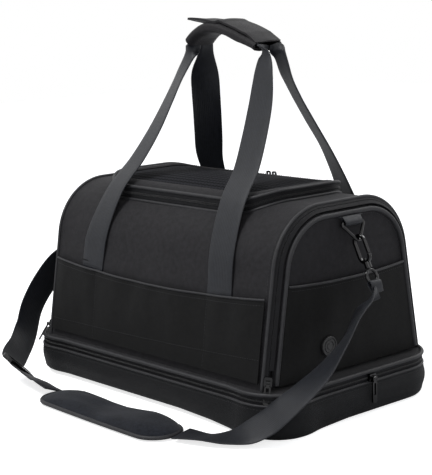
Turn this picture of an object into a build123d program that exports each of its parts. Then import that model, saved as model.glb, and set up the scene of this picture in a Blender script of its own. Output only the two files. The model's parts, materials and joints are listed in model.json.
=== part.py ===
"""Soft-sided pet carrier bag: a zipped tray base, an arched cabin with a zip door at each end, a mesh
top flap, two webbing carry loops joined by a grip wrap, and a padded shoulder strap.

Frame, in millimetres: X along the bag, -Y to the front (the side with the pocket), +Z up, origin in the
middle of the underside of the tray. Each piece is one STEP file; the ends are mirror images.
"""
from build123d import *
import os
from math import asin, atan2, cos, degrees, hypot, radians, sin, sqrt, tan

os.makedirs("parts", exist_ok=True)

# ------------------------------------------------------------------ driving dimensions
# tray base
TRAY_LENGTH = 450.0
TRAY_WIDTH = 276.0
TRAY_CORNER = 55.0          # plan radius of its corners
TRAY_FLOOR = 6.0            # padded floor
TRAY_FLOOR_ROUND = 5.0      # rounding under the floor's edge
TRAY_WALL = 4.0
TRAY_SIDE_TOP = 37.0        # height of the sewn side, up to the base zip
BOARD = 3.0                 # stiff board on the floor
MAT = 14.0                  # sleeping mat at its middle
MAT_EDGE = 9.0              # and at its edge
MAT_MARGIN = 9.0            # gap round the mat
MAT_PROFILE = ((0.0, 3.0), (4.0, 0.0), (MAT_EDGE, 5.0), (MAT, 38.0))    # height, draw-in
BOARD_CLEAR = 1.0           # board's edge from the folded cloth
GUSSET = 1.6                # folded expansion cloth
GUSSET_DROP = 20.0          # how far its fold hangs inside the tray wall
GUSSET_CLEAR = 0.3

# zips
ZIP_HALF = 4.4              # height of one half of the base zip
ZIP_GAP = 0.2               # between the two halves of a closed zip
ZIP_TAPE = 2.4              # tape and coil together
SLIDER_WIDTH = 9.0
SLIDER_LENGTH = 11.0
SLIDER_DEPTH = 3.4
SLIDER_LIFT = 0.3           # slider off the tape
SLIDER_ROUND = 2.0
BAIL_HEIGHT = 3.6           # cheeks that hold the pull's pin
BAIL_CHEEK = 1.2
BAIL_LENGTH = 4.0
BAIL_CLEAR = 0.3            # between the cheeks and the pull's neck
BAIL_ABOVE_PIN = 1.6
PULL_WIDTH = 7.0
PULL_NECK = 3.6
PULL_THICK = 1.8
PULL_NECK_LENGTH = 4.0
PULL_BORDER = 1.8           # metal round the slot
PULL_SLOT_SHARE = 0.55      # of the plate's length
PIN_RADIUS = 0.8
PIN_CLEAR = 0.1
PIN_WALL = 1.0
DOOR_SLIDER_RISE = 11.0     # door slider above the ledge
DOOR_PULL_LENGTH = 24.0
RIGHT_PULL_OFF = 5.0        # degrees that each door pull stands off the piping below it
LEFT_PULL_OFF = 20.0
BASE_PULL_LENGTH = 29.0
BASE_SLIDER_Y = 13.0
TOP_PULL_LENGTH = 12.0
TOP_PULL_SWING = -8.0
TOP_SLIDER_GAP = 1.2        # between the two sliders of the top zip

# cabin
RIM = 3.0                   # ledge that joins the cabin to the base zip
RIM_PIPING = 2.3            # radius of the piping round it
RIM_PIPING_DROP = 0.5       # its middle below the ledge's top
LEDGE_SIDE = 9.5            # ledge outside the cabin's long sides
LEDGE_END = 29.0            # and outside the shell's ends, under the door zips
RIM_OPENING_CORNER = 30.0
CABIN_TOP = 242.0
CABIN_LEAN = 9.4            # degrees that the long sides lean inwards
CABIN_SHOULDER = 73.0       # outer radius of the long top edges
WALL = 4.0                  # foam-backed cloth
EDGE_BEVEL = 7.0            # sloping band that carries each door zip
FRAME_WIDTH = 9.5           # inner flange of the end frames
FRAME_THICK = 3.0

# doors
DOOR_THICK = 6.5
DOOR_ZIP_TAPE = 1.6
DOOR_GAP = 0.5              # all round, between door and frame
DOOR_PIPING = 2.8           # radius
DOOR_PIPING_PROUD = 3.4     # how far it stands out of the door's face
DOOR_SILL = 3.0             # door's lower edge above the ledge
DOOR_ZIP_START = 20.0       # inner half of its zip starts this far above that edge
DOOR_POCKET_TOP = 160.0
DOOR_POCKET = 1.6
DOOR_POCKET_SILL = 1.0      # its lower edge above the door's
BADGE_RADIUS = 11.5
BADGE_THICK = 2.2
BADGE_RIM = 2.0
BADGE_DISH = 0.6
BADGE_Y = -36.0
BADGE_Z = 84.0

# top flap
FLAP_END_MARGIN = 46.0      # from the flap's ends to the shell's ends
FLAP_HALF_WIDTH = 78.0
FLAP_CORNER = 50.0
FLAP_BAND = 17.0            # cloth band round the mesh
CURB = 6.0                  # raised zip curb on the cabin
CURB_WIDTH = 4.0
FLAP_EDGE = 7.0             # depth of the flap's boxed edge above the curb
FLAP_SKIN = 2.0
MESH_CROWN = 19.0           # mesh's middle above the cabin's top
MESH_SKIN = 1.6
MESH_SIDE_DROP = 6.0        # long edges of the mesh below its end edges
MESH_FOOT = 6.0             # and its lowest point below the cabin's top
OPENING_LIP = 12.0          # cabin cloth left inside the curb

# front pocket and sewn webbing
WEBBING = 40.0
WEBBING_THICK = 1.6
RIBBON_STEPS = 3            # sections from one station of loose webbing to the next
LEG_X = 117.0               # middle of each carry strap where it is sewn on
ANCHOR_LOW = 100.0
LEG_CLEAR = 0.3             # between the loose straps and the sides
LEG_FOOT = 150.0            # height where the carry straps come loose from the sides
POCKET_MARGIN = 6.0         # from the pocket's ends to the shell's ends
POCKET_FOOT = 57.0
POCKET_TOP = 147.0
POCKET_SAG = 9.0
POCKET_SKIN = 1.6
POCKET_CLEAR = 0.3

# carry handle
GRIP_Y = 24.0               # the loops lean towards the back
GRIP_TOP = 431.0            # middle of the webbing at the top of its arc
GRIP_HALF = 60.0
GRIP_SAG = 18.0             # fall of the arc from its middle to its ends
GRIP_WIDTH = 46.0
GRIP_DEPTH = 13.0
GRIP_ROUND = 6.4            # edges of the grip's section
GRIP_BORE_WIDTH = 39.0
GRIP_BORE_DEPTH = 5.0
GATHER = 18.0               # width that each strap is folded to in the grip
GATHER_THICK = 3.2
LANE_GAP = 2.0              # between the front and rear straps in the grip
MOUTH_WIDTH = 26.0          # each strap just below the grip
MOUTH_THICK = 2.4
MOUTH_OUT = 9.0             # and how far that is out, aside and down from the grip's end
MOUTH_ASIDE = 4.0
MOUTH_DOWN = 13.0
GRIP_FLAP = 2.2
GRIP_FLAP_GAP = 0.4
GRIP_FLAP_MARGIN = 6.0      # grip's edge to the flap's edge
GRIP_FLAP_SHORT = 2.0       # degrees of arc that the flap lacks at each end

# shoulder strap fittings
RING_Y = 5.0
RING_Z = 218.5
RING_OUT = 4.6              # bar of the ring from the door's face
RING_TILT = 26.0            # degrees that ring and hook hang away from the door
RING_WIDTH = 38.0
RING_DEPTH = 21.0
RING_FLAT = 5.0
RING_WIRE = 2.0
RING_BEND = 2.2
TAB_TOP = 40.0
TAB_WIDTH = 27.0
TAB_SKIN = 1.5
TAB_CLEAR = 0.3
HOOK_WIRE = 2.0
HOOK_HALF = 7.5
HOOK_LENGTH = 31.0
HOOK_ROUND = 1.2
GATE_LOW = 0.4              # ends of the gate's gap, above the ends of the straight side
GATE_HIGH = 1.5
GATE_THIN = 0.2             # gate's faces inside the hook's faces
GATE_ROUND = 1.0
GATE_CLEAR = 0.3            # gate's free end from the hook
GATE_PIVOT_CLEAR = 0.9      # and its pivot end, so that it can turn
HOOK_BARREL = 4.0
HOOK_BARREL_LENGTH = 7.0
STEM = 1.7
STEM_CLEAR = 0.1
STEM_ABOVE = 1.0            # stem standing above the barrel's inner end
STEM_HEAD = 1.4
EYE_RADIUS = 8.0
EYE_WIRE = 1.8
LOOP_LENGTH = 15.0
LOOP_WIDTH = 17.0
LOOP_THICK = 7.0
LOOP_ROUND = 2.4
LOOP_WEBBING = 3.2          # webbing folded double in the loop
NECK_WIDTH = 30.0           # webbing spreading out of the loop
NECK_THICK = 2.0

# shoulder strap
PAD_LENGTH = 230.0
PAD_WIDTH = 56.0
PAD_THICK = 15.0
PAD_MIDDLE = (18.0, -204.0)
PAD_ROUND = 27.5            # plan radius of its ends
PAD_TURN = -1.0             # degrees in plan
PAD_SEAM = 4.4              # height where the webbing enters it
PAD_PROFILE = ((0.0, 4.0), (0.35, 0.0), (0.62, 1.5), (0.86, 8.0), (1.0, 17.0))   # share of height, draw-in
PAD_CLEAR = 0.3
STRAP_ENTRY = {1: 13.0, -1: 6.0}    # how far behind the pad's middle line the webbing enters each end
ADJUSTER_WIDTH = 50.0
ADJUSTER_LENGTH = 20.0
ADJUSTER_THICK = 4.0
ADJUSTER_FRAME = 4.0
ADJUSTER_CORNER = 5.0
ADJUSTER_MIDDLE = (-184.0, -191.0, 19.0)
ADJUSTER_RUN = (12.4, -1.5, -3.9)       # webbing from its middle to its end
ADJUSTER_CLEAR = 0.3

# ------------------------------------------------------------------ worked-out sizes
LEAN = radians(CABIN_LEAN)
RIM_BOTTOM = TRAY_SIDE_TOP + 2 * ZIP_HALF + ZIP_GAP
RIM_TOP = RIM_BOTTOM + RIM
CABIN_HALF = TRAY_LENGTH / 2 - LEDGE_END        # half length of the shell
CABIN_FOOT_HALF = TRAY_WIDTH / 2 - LEDGE_SIDE   # half width of the cabin where it leaves the ledge
FLAP_HALF_LENGTH = CABIN_HALF - FLAP_END_MARGIN
POCKET_HALF = CABIN_HALF - POCKET_MARGIN
DOOR_FACE = CABIN_HALF + EDGE_BEVEL
DOOR_FOOT = RIM_TOP + DOOR_SILL
DOOR_INSET = EDGE_BEVEL + DOOR_ZIP_TAPE * sqrt(2) + DOOR_GAP     # door's edge inside the shell
FAR = TRAY_LENGTH                               # past every face, for cutting
OVERCUT = 1.0                                   # a cutter past the face that it cuts


def place(name, shape):
    """Write one piece to its own file."""
    export_step(shape, f"parts/{name}.step")


def both_ends(name, shape):
    """Write a piece of the right-hand end, and its mirror image for the left-hand end."""
    place(f"right_{name}", shape)
    place(f"left_{name}", mirror(shape, Plane.YZ))


def tray_outline(inset=0.0):
    """Plan of the tray, drawn in by inset."""
    return RectangleRounded(TRAY_LENGTH - 2 * inset, TRAY_WIDTH - 2 * inset, TRAY_CORNER - inset)


def tray_ring(inset, width, low, high):
    """A band that follows the tray's plan between two heights."""
    return Pos(0, 0, low) * extrude(tray_outline(inset) - tray_outline(inset + width), high - low)


def side_y(height, inset=0.0):
    """Half width of the cabin's leaning side at a height, drawn in by inset square to the side."""
    return CABIN_FOOT_HALF - tan(LEAN) * (height - RIM_TOP) - inset / cos(LEAN)


def arch(inset, foot):
    """Cross-section of the cabin, drawn in by inset, standing on the height foot."""
    crown = CABIN_TOP - inset
    outline = Polyline(
        (-side_y(foot, inset), foot),
        (-side_y(crown, inset), crown),
        (side_y(crown, inset), crown),
        (side_y(foot, inset), foot),
        close=True,
    )
    face = make_face(outline)
    return fillet(face.vertices().group_by(Axis.Y)[-1], CABIN_SHOULDER - inset)


def arch_solid(inset, foot, x_low, x_high):
    """The arch drawn out along X."""
    plane = Plane(origin=(x_low, 0, 0), x_dir=(0, 1, 0), z_dir=(1, 0, 0))
    return extrude(plane * arch(inset, foot), x_high - x_low)


def arch_taper(inset_low, inset_high, foot, x_low, x_high):
    """A solid whose arch is drawn in steadily from one inset to another along X."""
    ends = [
        Plane(origin=(x, 0, 0), x_dir=(0, 1, 0), z_dir=(1, 0, 0)) * arch(inset, foot)
        for x, inset in ((x_low, inset_low), (x_high, inset_high))
    ]
    return loft(ends, ruled=True)


def flap_prism(inset):
    """Upright prism on the top flap's plan, drawn in by inset."""
    plan = RectangleRounded(
        2 * (FLAP_HALF_LENGTH - inset), 2 * (FLAP_HALF_WIDTH - inset), FLAP_CORNER - inset
    )
    return Pos(0, 0, RIM_TOP) * extrude(plan, FAR)


def slab(x_low, x_high, y_low, y_high, z_low, z_high):
    """Axis-aligned block from its limits."""
    return Pos((x_low + x_high) / 2, (y_low + y_high) / 2, (z_low + z_high) / 2) * Box(
        x_high - x_low, y_high - y_low, z_high - z_low
    )


# ------------------------------------------------------------------ tray base
def make_tray():
    floor = extrude(tray_outline(), TRAY_FLOOR)
    floor = fillet(floor.faces().sort_by(Axis.Z)[0].edges(), TRAY_FLOOR_ROUND)
    place("tray_floor", floor)
    place("tray_wall", tray_ring(0, TRAY_WALL, TRAY_FLOOR, TRAY_SIDE_TOP))
    board = Pos(0, 0, TRAY_FLOOR) * extrude(tray_outline(TRAY_WALL + GUSSET + BOARD_CLEAR), BOARD)
    place("base_board", board)
    place("base_zip_lower", tray_ring(0, ZIP_TAPE, TRAY_SIDE_TOP, TRAY_SIDE_TOP + ZIP_HALF))
    gusset = tray_ring(TRAY_WALL + GUSSET_CLEAR, GUSSET, TRAY_SIDE_TOP - GUSSET_DROP, RIM_BOTTOM - ZIP_GAP)
    place("base_gusset", gusset)


def make_mat():
    """Crowned mat: flat below, drawn in at its edge, highest in the middle."""
    foot = TRAY_FLOOR + BOARD
    inset = TRAY_WALL + GUSSET + MAT_MARGIN
    sections = [Pos(0, 0, foot + height) * tray_outline(inset + draw) for height, draw in MAT_PROFILE]
    place("sleeping_mat", loft(sections, ruled=True))


# ------------------------------------------------------------------ cabin
def make_cabin_shell():
    foot = RIM_TOP
    tube = arch_solid(0, foot, -CABIN_HALF, CABIN_HALF)
    tube -= arch_solid(WALL, foot - OVERCUT, -CABIN_HALF - OVERCUT, CABIN_HALF + OVERCUT)
    tube -= flap_prism(OPENING_LIP)
    flat = shoulder_middle()
    place("front_panel", tube & slab(-FAR, FAR, -FAR, -flat, 0, FAR))
    place("rear_panel", tube & slab(-FAR, FAR, flat, FAR, 0, FAR))
    place("top_panel", tube & slab(-FAR, FAR, -flat, flat, 0, FAR))

    opening = RectangleRounded(
        2 * (CABIN_HALF - FRAME_WIDTH), 2 * (CABIN_FOOT_HALF - WALL - FRAME_WIDTH), RIM_OPENING_CORNER
    )
    ledge = Pos(0, 0, RIM_BOTTOM) * extrude(tray_outline() - opening, RIM)
    edge_path = Pos(0, 0, RIM_TOP - RIM_PIPING_DROP) * tray_outline().wire()
    start = edge_path @ 0
    piping = sweep(Plane(origin=start, z_dir=edge_path % 0) * Circle(RIM_PIPING), path=edge_path)
    place("cabin_rim", ledge + piping)
    place("base_zip_upper", tray_ring(0, ZIP_TAPE, RIM_BOTTOM - ZIP_HALF, RIM_BOTTOM))


def make_end_frames():
    """Inner flange at each end of the shell, and the outer half of each door zip on the sloping band."""
    frame = arch_solid(WALL, RIM_TOP, CABIN_HALF - FRAME_THICK, CABIN_HALF)
    frame -= arch_solid(
        WALL + FRAME_WIDTH, RIM_TOP - OVERCUT, CABIN_HALF - FRAME_THICK - OVERCUT, CABIN_HALF + OVERCUT
    )
    place("end_frames", Compound(children=[frame, mirror(frame, Plane.YZ)]))

    band = arch_taper(0, EDGE_BEVEL, RIM_TOP, CABIN_HALF, DOOR_FACE)
    depth = DOOR_ZIP_TAPE * sqrt(2)
    band -= arch_taper(depth, EDGE_BEVEL + depth, RIM_TOP - OVERCUT, CABIN_HALF, DOOR_FACE)
    split_x = (CABIN_HALF + DOOR_FACE) / 2
    outer = band & slab(0, split_x - ZIP_GAP, -FAR, FAR, 0, FAR)
    inner = band & slab(split_x + ZIP_GAP, FAR, -FAR, FAR, DOOR_FOOT + DOOR_ZIP_START, FAR)
    place("door_zips_outer", Compound(children=[outer, mirror(outer, Plane.YZ)]))
    both_ends("zip_inner", inner)


def front_plane():
    """Plane of the leaning front: X along the bag, Y up the cloth from the floor's height, Z outwards."""
    return Plane(origin=(0, -side_y(0), 0), x_dir=(1, 0, 0), z_dir=(0, -cos(LEAN), sin(LEAN)))


def make_front_pocket():
    """Patch pocket across the front: flat cloth with a sagging top edge."""
    half = POCKET_HALF
    sheet = make_face(
        Polyline((-half, POCKET_TOP), (-half, POCKET_FOOT), (half, POCKET_FOOT), (half, POCKET_TOP))
        + ThreePointArc((half, POCKET_TOP), (0, POCKET_TOP - POCKET_SAG), (-half, POCKET_TOP))
    )
    sheet = extrude(Pos(0, 0, WEBBING_THICK + POCKET_CLEAR) * sheet, POCKET_SKIN)
    place("front_pocket", front_plane() * sheet)


def make_anchors():
    """The lower end of each carry strap, sewn flat on the side."""
    def strip(x, low):
        face = Pos(x, (low + LEG_FOOT) / 2) * Rectangle(WEBBING, LEG_FOOT - low)
        return front_plane() * extrude(face, WEBBING_THICK)

    anchors = []
    for x in (-LEG_X, LEG_X):
        anchors.append(strip(x, ANCHOR_LOW))
        anchors.append(mirror(strip(x, POCKET_FOOT), Plane.XZ))
    place("handle_anchors", Compound(children=anchors))


# ------------------------------------------------------------------ doors
def make_doors():
    face = DOOR_FACE
    both_ends("door_panel", arch_solid(DOOR_INSET, DOOR_FOOT, face - DOOR_THICK, face))

    path_inset = DOOR_INSET + DOOR_PIPING
    outline = arch(path_inset, DOOR_FOOT + DOOR_PIPING)
    plane = Plane(origin=(face + DOOR_PIPING_PROUD - DOOR_PIPING, 0, 0), x_dir=(0, 1, 0), z_dir=(1, 0, 0))
    edges = (plane * outline).edges().sort_by(Axis.Z)
    path = Wire(edges[1:])
    start = path @ 0
    piping = sweep(Plane(origin=start, z_dir=path % 0) * Circle(DOOR_PIPING), path=path)
    piping -= arch_solid(DOOR_INSET, RIM_TOP, face - DOOR_THICK, face)
    both_ends("door_piping", piping)

    cloth_inset = path_inset + DOOR_PIPING + DOOR_GAP
    pocket = arch_solid(cloth_inset, DOOR_FOOT + DOOR_POCKET_SILL, face, face + DOOR_POCKET)
    pocket &= slab(0, FAR, -FAR, FAR, 0, DOOR_POCKET_TOP)
    both_ends("door_pocket", pocket)

    disc_plane = Plane(origin=(face + DOOR_POCKET, BADGE_Y, BADGE_Z), x_dir=(0, 1, 0), z_dir=(1, 0, 0))
    disc = extrude(disc_plane * Circle(BADGE_RADIUS), BADGE_THICK)
    dish = extrude(disc_plane.offset(BADGE_THICK - BADGE_DISH) * Circle(BADGE_RADIUS - BADGE_RIM), BADGE_THICK)
    place("right_badge", disc - dish)


# ------------------------------------------------------------------ top flap
def make_top_flap():
    def layer(outer, inner):
        """The cabin's arch between two outsets, past both ends of the bag."""
        solid = arch_solid(-outer, RIM_TOP, -FAR, FAR)
        return solid - arch_solid(-inner, RIM_TOP - OVERCUT, -FAR - OVERCUT, FAR + OVERCUT)

    border = flap_prism(0) - flap_prism(CURB_WIDTH)
    place("top_zip_lower", layer(CURB, 0) & border)
    low = CURB + SLIDER_LIFT
    top = low + FLAP_EDGE
    place("flap_edge", layer(top, low) & border)
    place("flap_band", layer(top, top - FLAP_SKIN) & (flap_prism(CURB_WIDTH) - flap_prism(FLAP_BAND)))

    mesh = (mesh_crown(top, 0) - mesh_crown(top, MESH_SKIN)) & flap_prism(FLAP_BAND + DOOR_GAP)
    mesh -= slab(-FAR, FAR, -FAR, FAR, 0, CABIN_TOP - MESH_FOOT)
    place("flap_mesh", mesh)


def mesh_crown(top, skin):
    """Solid under the mesh, less a skin: the common part of an arc along the bag and an arc across it."""
    def arc_prism(half, edge, plane):
        face = make_face(
            Polyline((-half, edge), (-half, RIM_TOP), (half, RIM_TOP), (half, edge))
            + ThreePointArc((half, edge), (0, CABIN_TOP + MESH_CROWN - skin), (-half, edge))
        )
        return extrude(plane * face, FAR, both=True)

    edge = CABIN_TOP + top - FLAP_SKIN - skin
    along = arc_prism(FLAP_HALF_LENGTH - FLAP_BAND, edge, Plane.XZ)
    across = arc_prism(FLAP_HALF_WIDTH - FLAP_BAND, edge - MESH_SIDE_DROP, Plane.YZ)
    return along & across


# ------------------------------------------------------------------ zip sliders and pulls
def pin_height():
    """Axis of the pull's pin above the zip's face."""
    return SLIDER_LIFT + SLIDER_DEPTH + BAIL_HEIGHT - BAIL_ABOVE_PIN


def slider_shape(level=False):
    """Slider on its own plane: Z out of the face, pin along X. On a level zip the pin lies along the zip."""
    body = Box(SLIDER_LENGTH, SLIDER_WIDTH, SLIDER_DEPTH) if level else Box(SLIDER_WIDTH, SLIDER_LENGTH, SLIDER_DEPTH)
    body = Pos(0, 0, SLIDER_LIFT + SLIDER_DEPTH / 2) * body
    body = fillet(body.edges().filter_by(Axis.Z), SLIDER_ROUND)
    middle = SLIDER_LIFT + SLIDER_DEPTH / 2
    cheek_height = SLIDER_DEPTH / 2 + BAIL_HEIGHT
    for side in (-1, 1):
        x = side * (PULL_NECK / 2 + BAIL_CLEAR + BAIL_CHEEK / 2)
        body += Pos(x, 0, middle + cheek_height / 2) * Box(BAIL_CHEEK, BAIL_LENGTH, cheek_height)
    pin_length = PULL_NECK + 2 * (BAIL_CLEAR + BAIL_CHEEK)
    body += Pos(0, 0, pin_height()) * Rot(0, 90, 0) * Cylinder(PIN_RADIUS, pin_length)
    return body


def pull_shape(length, swing):
    """Pull on the slider's plane, hanging along -Y and swung out of the face by swing degrees."""
    bore = PIN_RADIUS + PIN_CLEAR
    eye = Rot(0, 90, 0) * Cylinder(bore + PIN_WALL, PULL_NECK)
    neck = Pos(0, -PULL_NECK_LENGTH / 2 - PIN_WALL / 2, 0) * Box(PULL_NECK, PULL_NECK_LENGTH + PIN_WALL, PULL_THICK)
    plate_length = length - PULL_NECK_LENGTH
    plate = Pos(0, -PULL_NECK_LENGTH - plate_length / 2, 0) * Box(PULL_WIDTH, plate_length, PULL_THICK)
    plate = fillet(plate.edges().filter_by(Axis.Z), SLIDER_ROUND)
    slot_length = PULL_SLOT_SHARE * plate_length
    slot = Pos(0, -PULL_NECK_LENGTH - PULL_BORDER - slot_length / 2, 0) * Box(
        PULL_WIDTH - 2 * PULL_BORDER, slot_length, FAR
    )
    shape = eye + neck + plate - slot
    shape -= Rot(0, 90, 0) * Cylinder(bore, PULL_WIDTH)
    return Pos(0, 0, pin_height()) * Rot(-swing, 0, 0) * shape


def door_slider_plane():
    """Plane of the right-hand door's slider: on the sloping band at the front bottom corner, Y up the zip."""
    mid = EDGE_BEVEL / 2
    height = RIM_TOP + DOOR_SLIDER_RISE
    outwards = Vector(1, -cos(LEAN), sin(LEAN)).normalized()
    across = Vector(1, cos(LEAN), -sin(LEAN)).normalized()
    return Plane(origin=(CABIN_HALF + mid, -side_y(height, mid), height), x_dir=across, z_dir=outwards)


def door_pull_rest(face):
    """Swing at which a door pull just touches the piping that goes round the ledge's corner."""
    pin = face.from_local_coords(Vector(0, 0, pin_height()))
    down = face.y_dir * -1
    corner = Vector(TRAY_LENGTH / 2 - TRAY_CORNER, -(TRAY_WIDTH / 2 - TRAY_CORNER), 0)
    gap = TRAY_CORNER - hypot(pin.X - corner.X, pin.Y - corner.Y)
    drop = pin.Z - (RIM_TOP - RIM_PIPING_DROP)
    reach = RIM_PIPING + PULL_THICK / 2
    touch = degrees(atan2(gap, drop) + asin(reach / hypot(gap, drop)))
    return touch - degrees(atan2(hypot(down.X, down.Y), -down.Z))


def make_sliders():
    face = door_slider_plane()
    rest = door_pull_rest(face)
    both_ends("zip_slider", face * slider_shape())
    place("right_zip_pull", face * pull_shape(DOOR_PULL_LENGTH, rest + RIGHT_PULL_OFF))
    place("left_zip_pull", mirror(face * pull_shape(DOOR_PULL_LENGTH, rest + LEFT_PULL_OFF), Plane.YZ))

    # base zip: on the right-hand end, its pull hanging straight down
    face = Plane(
        origin=(TRAY_LENGTH / 2, BASE_SLIDER_Y, TRAY_SIDE_TOP + ZIP_HALF), x_dir=(0, 1, 0), z_dir=(1, 0, 0)
    )
    place("base_zip_slider", face * slider_shape(level=True))
    place("base_zip_pull", face * pull_shape(BASE_PULL_LENGTH, 0))

    # top zip: two sliders that meet at the middle of the rear edge
    for name, side in (("left", -1), ("right", 1)):
        x = side * (SLIDER_WIDTH + TOP_SLIDER_GAP) / 2
        face = Plane(origin=(x, FLAP_HALF_WIDTH, top_zip_height()), x_dir=(1, 0, 0), z_dir=(0, 1, 0))
        place(f"top_{name}_slider", face * slider_shape())
        place(f"top_{name}_pull", face * pull_shape(TOP_PULL_LENGTH, TOP_PULL_SWING))


def shoulder_middle():
    """Y of the middle of the long edges' rounding, which is where the flat top ends."""
    return side_y(CABIN_TOP) - CABIN_SHOULDER / tan((radians(90) + LEAN) / 2)


def shoulder_height(y, outset):
    """Height of the cabin's rounded shoulder at y, for the surface outset from the cloth."""
    radius = CABIN_SHOULDER + outset
    return CABIN_TOP - CABIN_SHOULDER + sqrt(radius**2 - (abs(y) - shoulder_middle()) ** 2)


def top_zip_height():
    """Middle of the flap's boxed edge at the rear."""
    low = shoulder_height(FLAP_HALF_WIDTH, CURB + SLIDER_LIFT)
    high = shoulder_height(FLAP_HALF_WIDTH, CURB + SLIDER_LIFT + FLAP_EDGE)
    return (low + high) / 2


# ------------------------------------------------------------------ webbing
def ribbon(stations, start, end):
    """Webbing through stations of (point, width direction, width, thickness), with its end headings."""
    points = [Vector(*s[0]) for s in stations]
    ends = (Vector(*start).normalized(), Vector(*end).normalized())
    line = Spline(*points, tangents=ends, tangent_scalars=(1, 1))
    faces = []
    for station, following in zip(stations, stations[1:] + stations[-1:]):
        here = line.param_at_point(Vector(*station[0]))
        there = line.param_at_point(Vector(*following[0]))
        steps = RIBBON_STEPS if station is not following else 1
        for step in range(steps):
            share = step / steps
            at = here + (there - here) * share
            heading = line % at
            across = Vector(*between(station[1], following[1], share))
            across = (across - heading * across.dot(heading)).normalized()
            width, thick = between(station[2:], following[2:], share)
            faces.append(Plane(origin=line @ at, x_dir=across, z_dir=heading) * Rectangle(width, thick))
    return loft(faces, ruled=True)


def between(a, b, t):
    """Point a share t of the way from a to b."""
    return tuple(p + (q - p) * t for p, q in zip(a, b))


def turned(angle):
    """Level direction at an angle, in degrees, from +X."""
    return (cos(radians(angle)), sin(radians(angle)), 0)


def grip_arc():
    """Radius and middle height of the arc that the grip follows, and the angle of its ends."""
    radius = (GRIP_HALF**2 + GRIP_SAG**2) / (2 * GRIP_SAG)
    return radius, GRIP_TOP - radius, degrees(asin(GRIP_HALF / radius))


def arc_sweep(section, half_angle):
    """Turn a section, drawn with X across the grip and Y away from the arc's middle, along the arc."""
    radius, middle, _ = grip_arc()
    plane = Plane(origin=(0, GRIP_Y, middle), x_dir=(0, 1, 0), z_dir=(1, 0, 0))
    axis = Axis((0, GRIP_Y, middle), (0, 1, 0))
    solid = revolve(plane * (Pos(0, radius) * section), axis, 2 * half_angle)
    return Pos(0, GRIP_Y, middle) * Rot(0, -half_angle, 0) * Pos(0, -GRIP_Y, -middle) * solid


# share of the height, and degrees that the webbing has turned there
LEG_TWIST = {
    ("front", -1): ((0.0, 0), (0.14, 0), (0.36, -12), (0.55, -18), (0.75, -25), (0.87, -24), (0.95, -5), (1.0, 90)),
    ("front", 1): ((0.0, 0), (0.14, 0), (0.70, 0), (0.84, -5), (0.95, -8), (1.0, -90)),
    ("rear", -1): ((0.0, 0), (0.14, 0), (0.36, 10), (0.48, 21), (0.74, 22), (0.86, 45), (0.95, 70), (1.0, 90)),
    ("rear", 1): ((0.0, 0), (0.14, 0), (0.36, -20), (0.52, -28), (0.70, -26), (0.84, -12), (0.95, 0), (1.0, 90)),
}
# carry strap at the right end, from the foot to the grip; the left end mirrors it
FRONT_LEG = (
    (114.5, -110.0, 182.0), (110.0, -98.5, 213.0), (105.5, -84.0, 240.0), (102.5, -73.0, 254.0),
    (98.5, -54.0, 274.0), (90.5, -32.0, 308.0), (82.5, -12.5, 345.0), (74.5, 1.0, 376.0),
)
REAR_LEG = (
    (115.5, 109.5, 182.0), (114.0, 102.0, 215.0), (113.0, 90.0, 242.0), (110.5, 80.5, 265.0),
    (103.5, 71.0, 292.0), (93.0, 60.0, 322.0), (83.0, 50.0, 350.0), (74.5, 42.0, 376.0),
)
# width of the webbing at each of those points, as it gathers towards the grip
LEG_WIDTH = (WEBBING, WEBBING, WEBBING, WEBBING, WEBBING, WEBBING, 37.0, 27.0)



def twist_at(table, t):
    """Angle of the width direction at share t of the leg."""
    for (t0, a0), (t1, a1) in zip(table, table[1:]):
        if t <= t1:
            return a0 + (a1 - a0) * (t - t0) / (t1 - t0)
    return table[-1][1]


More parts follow.
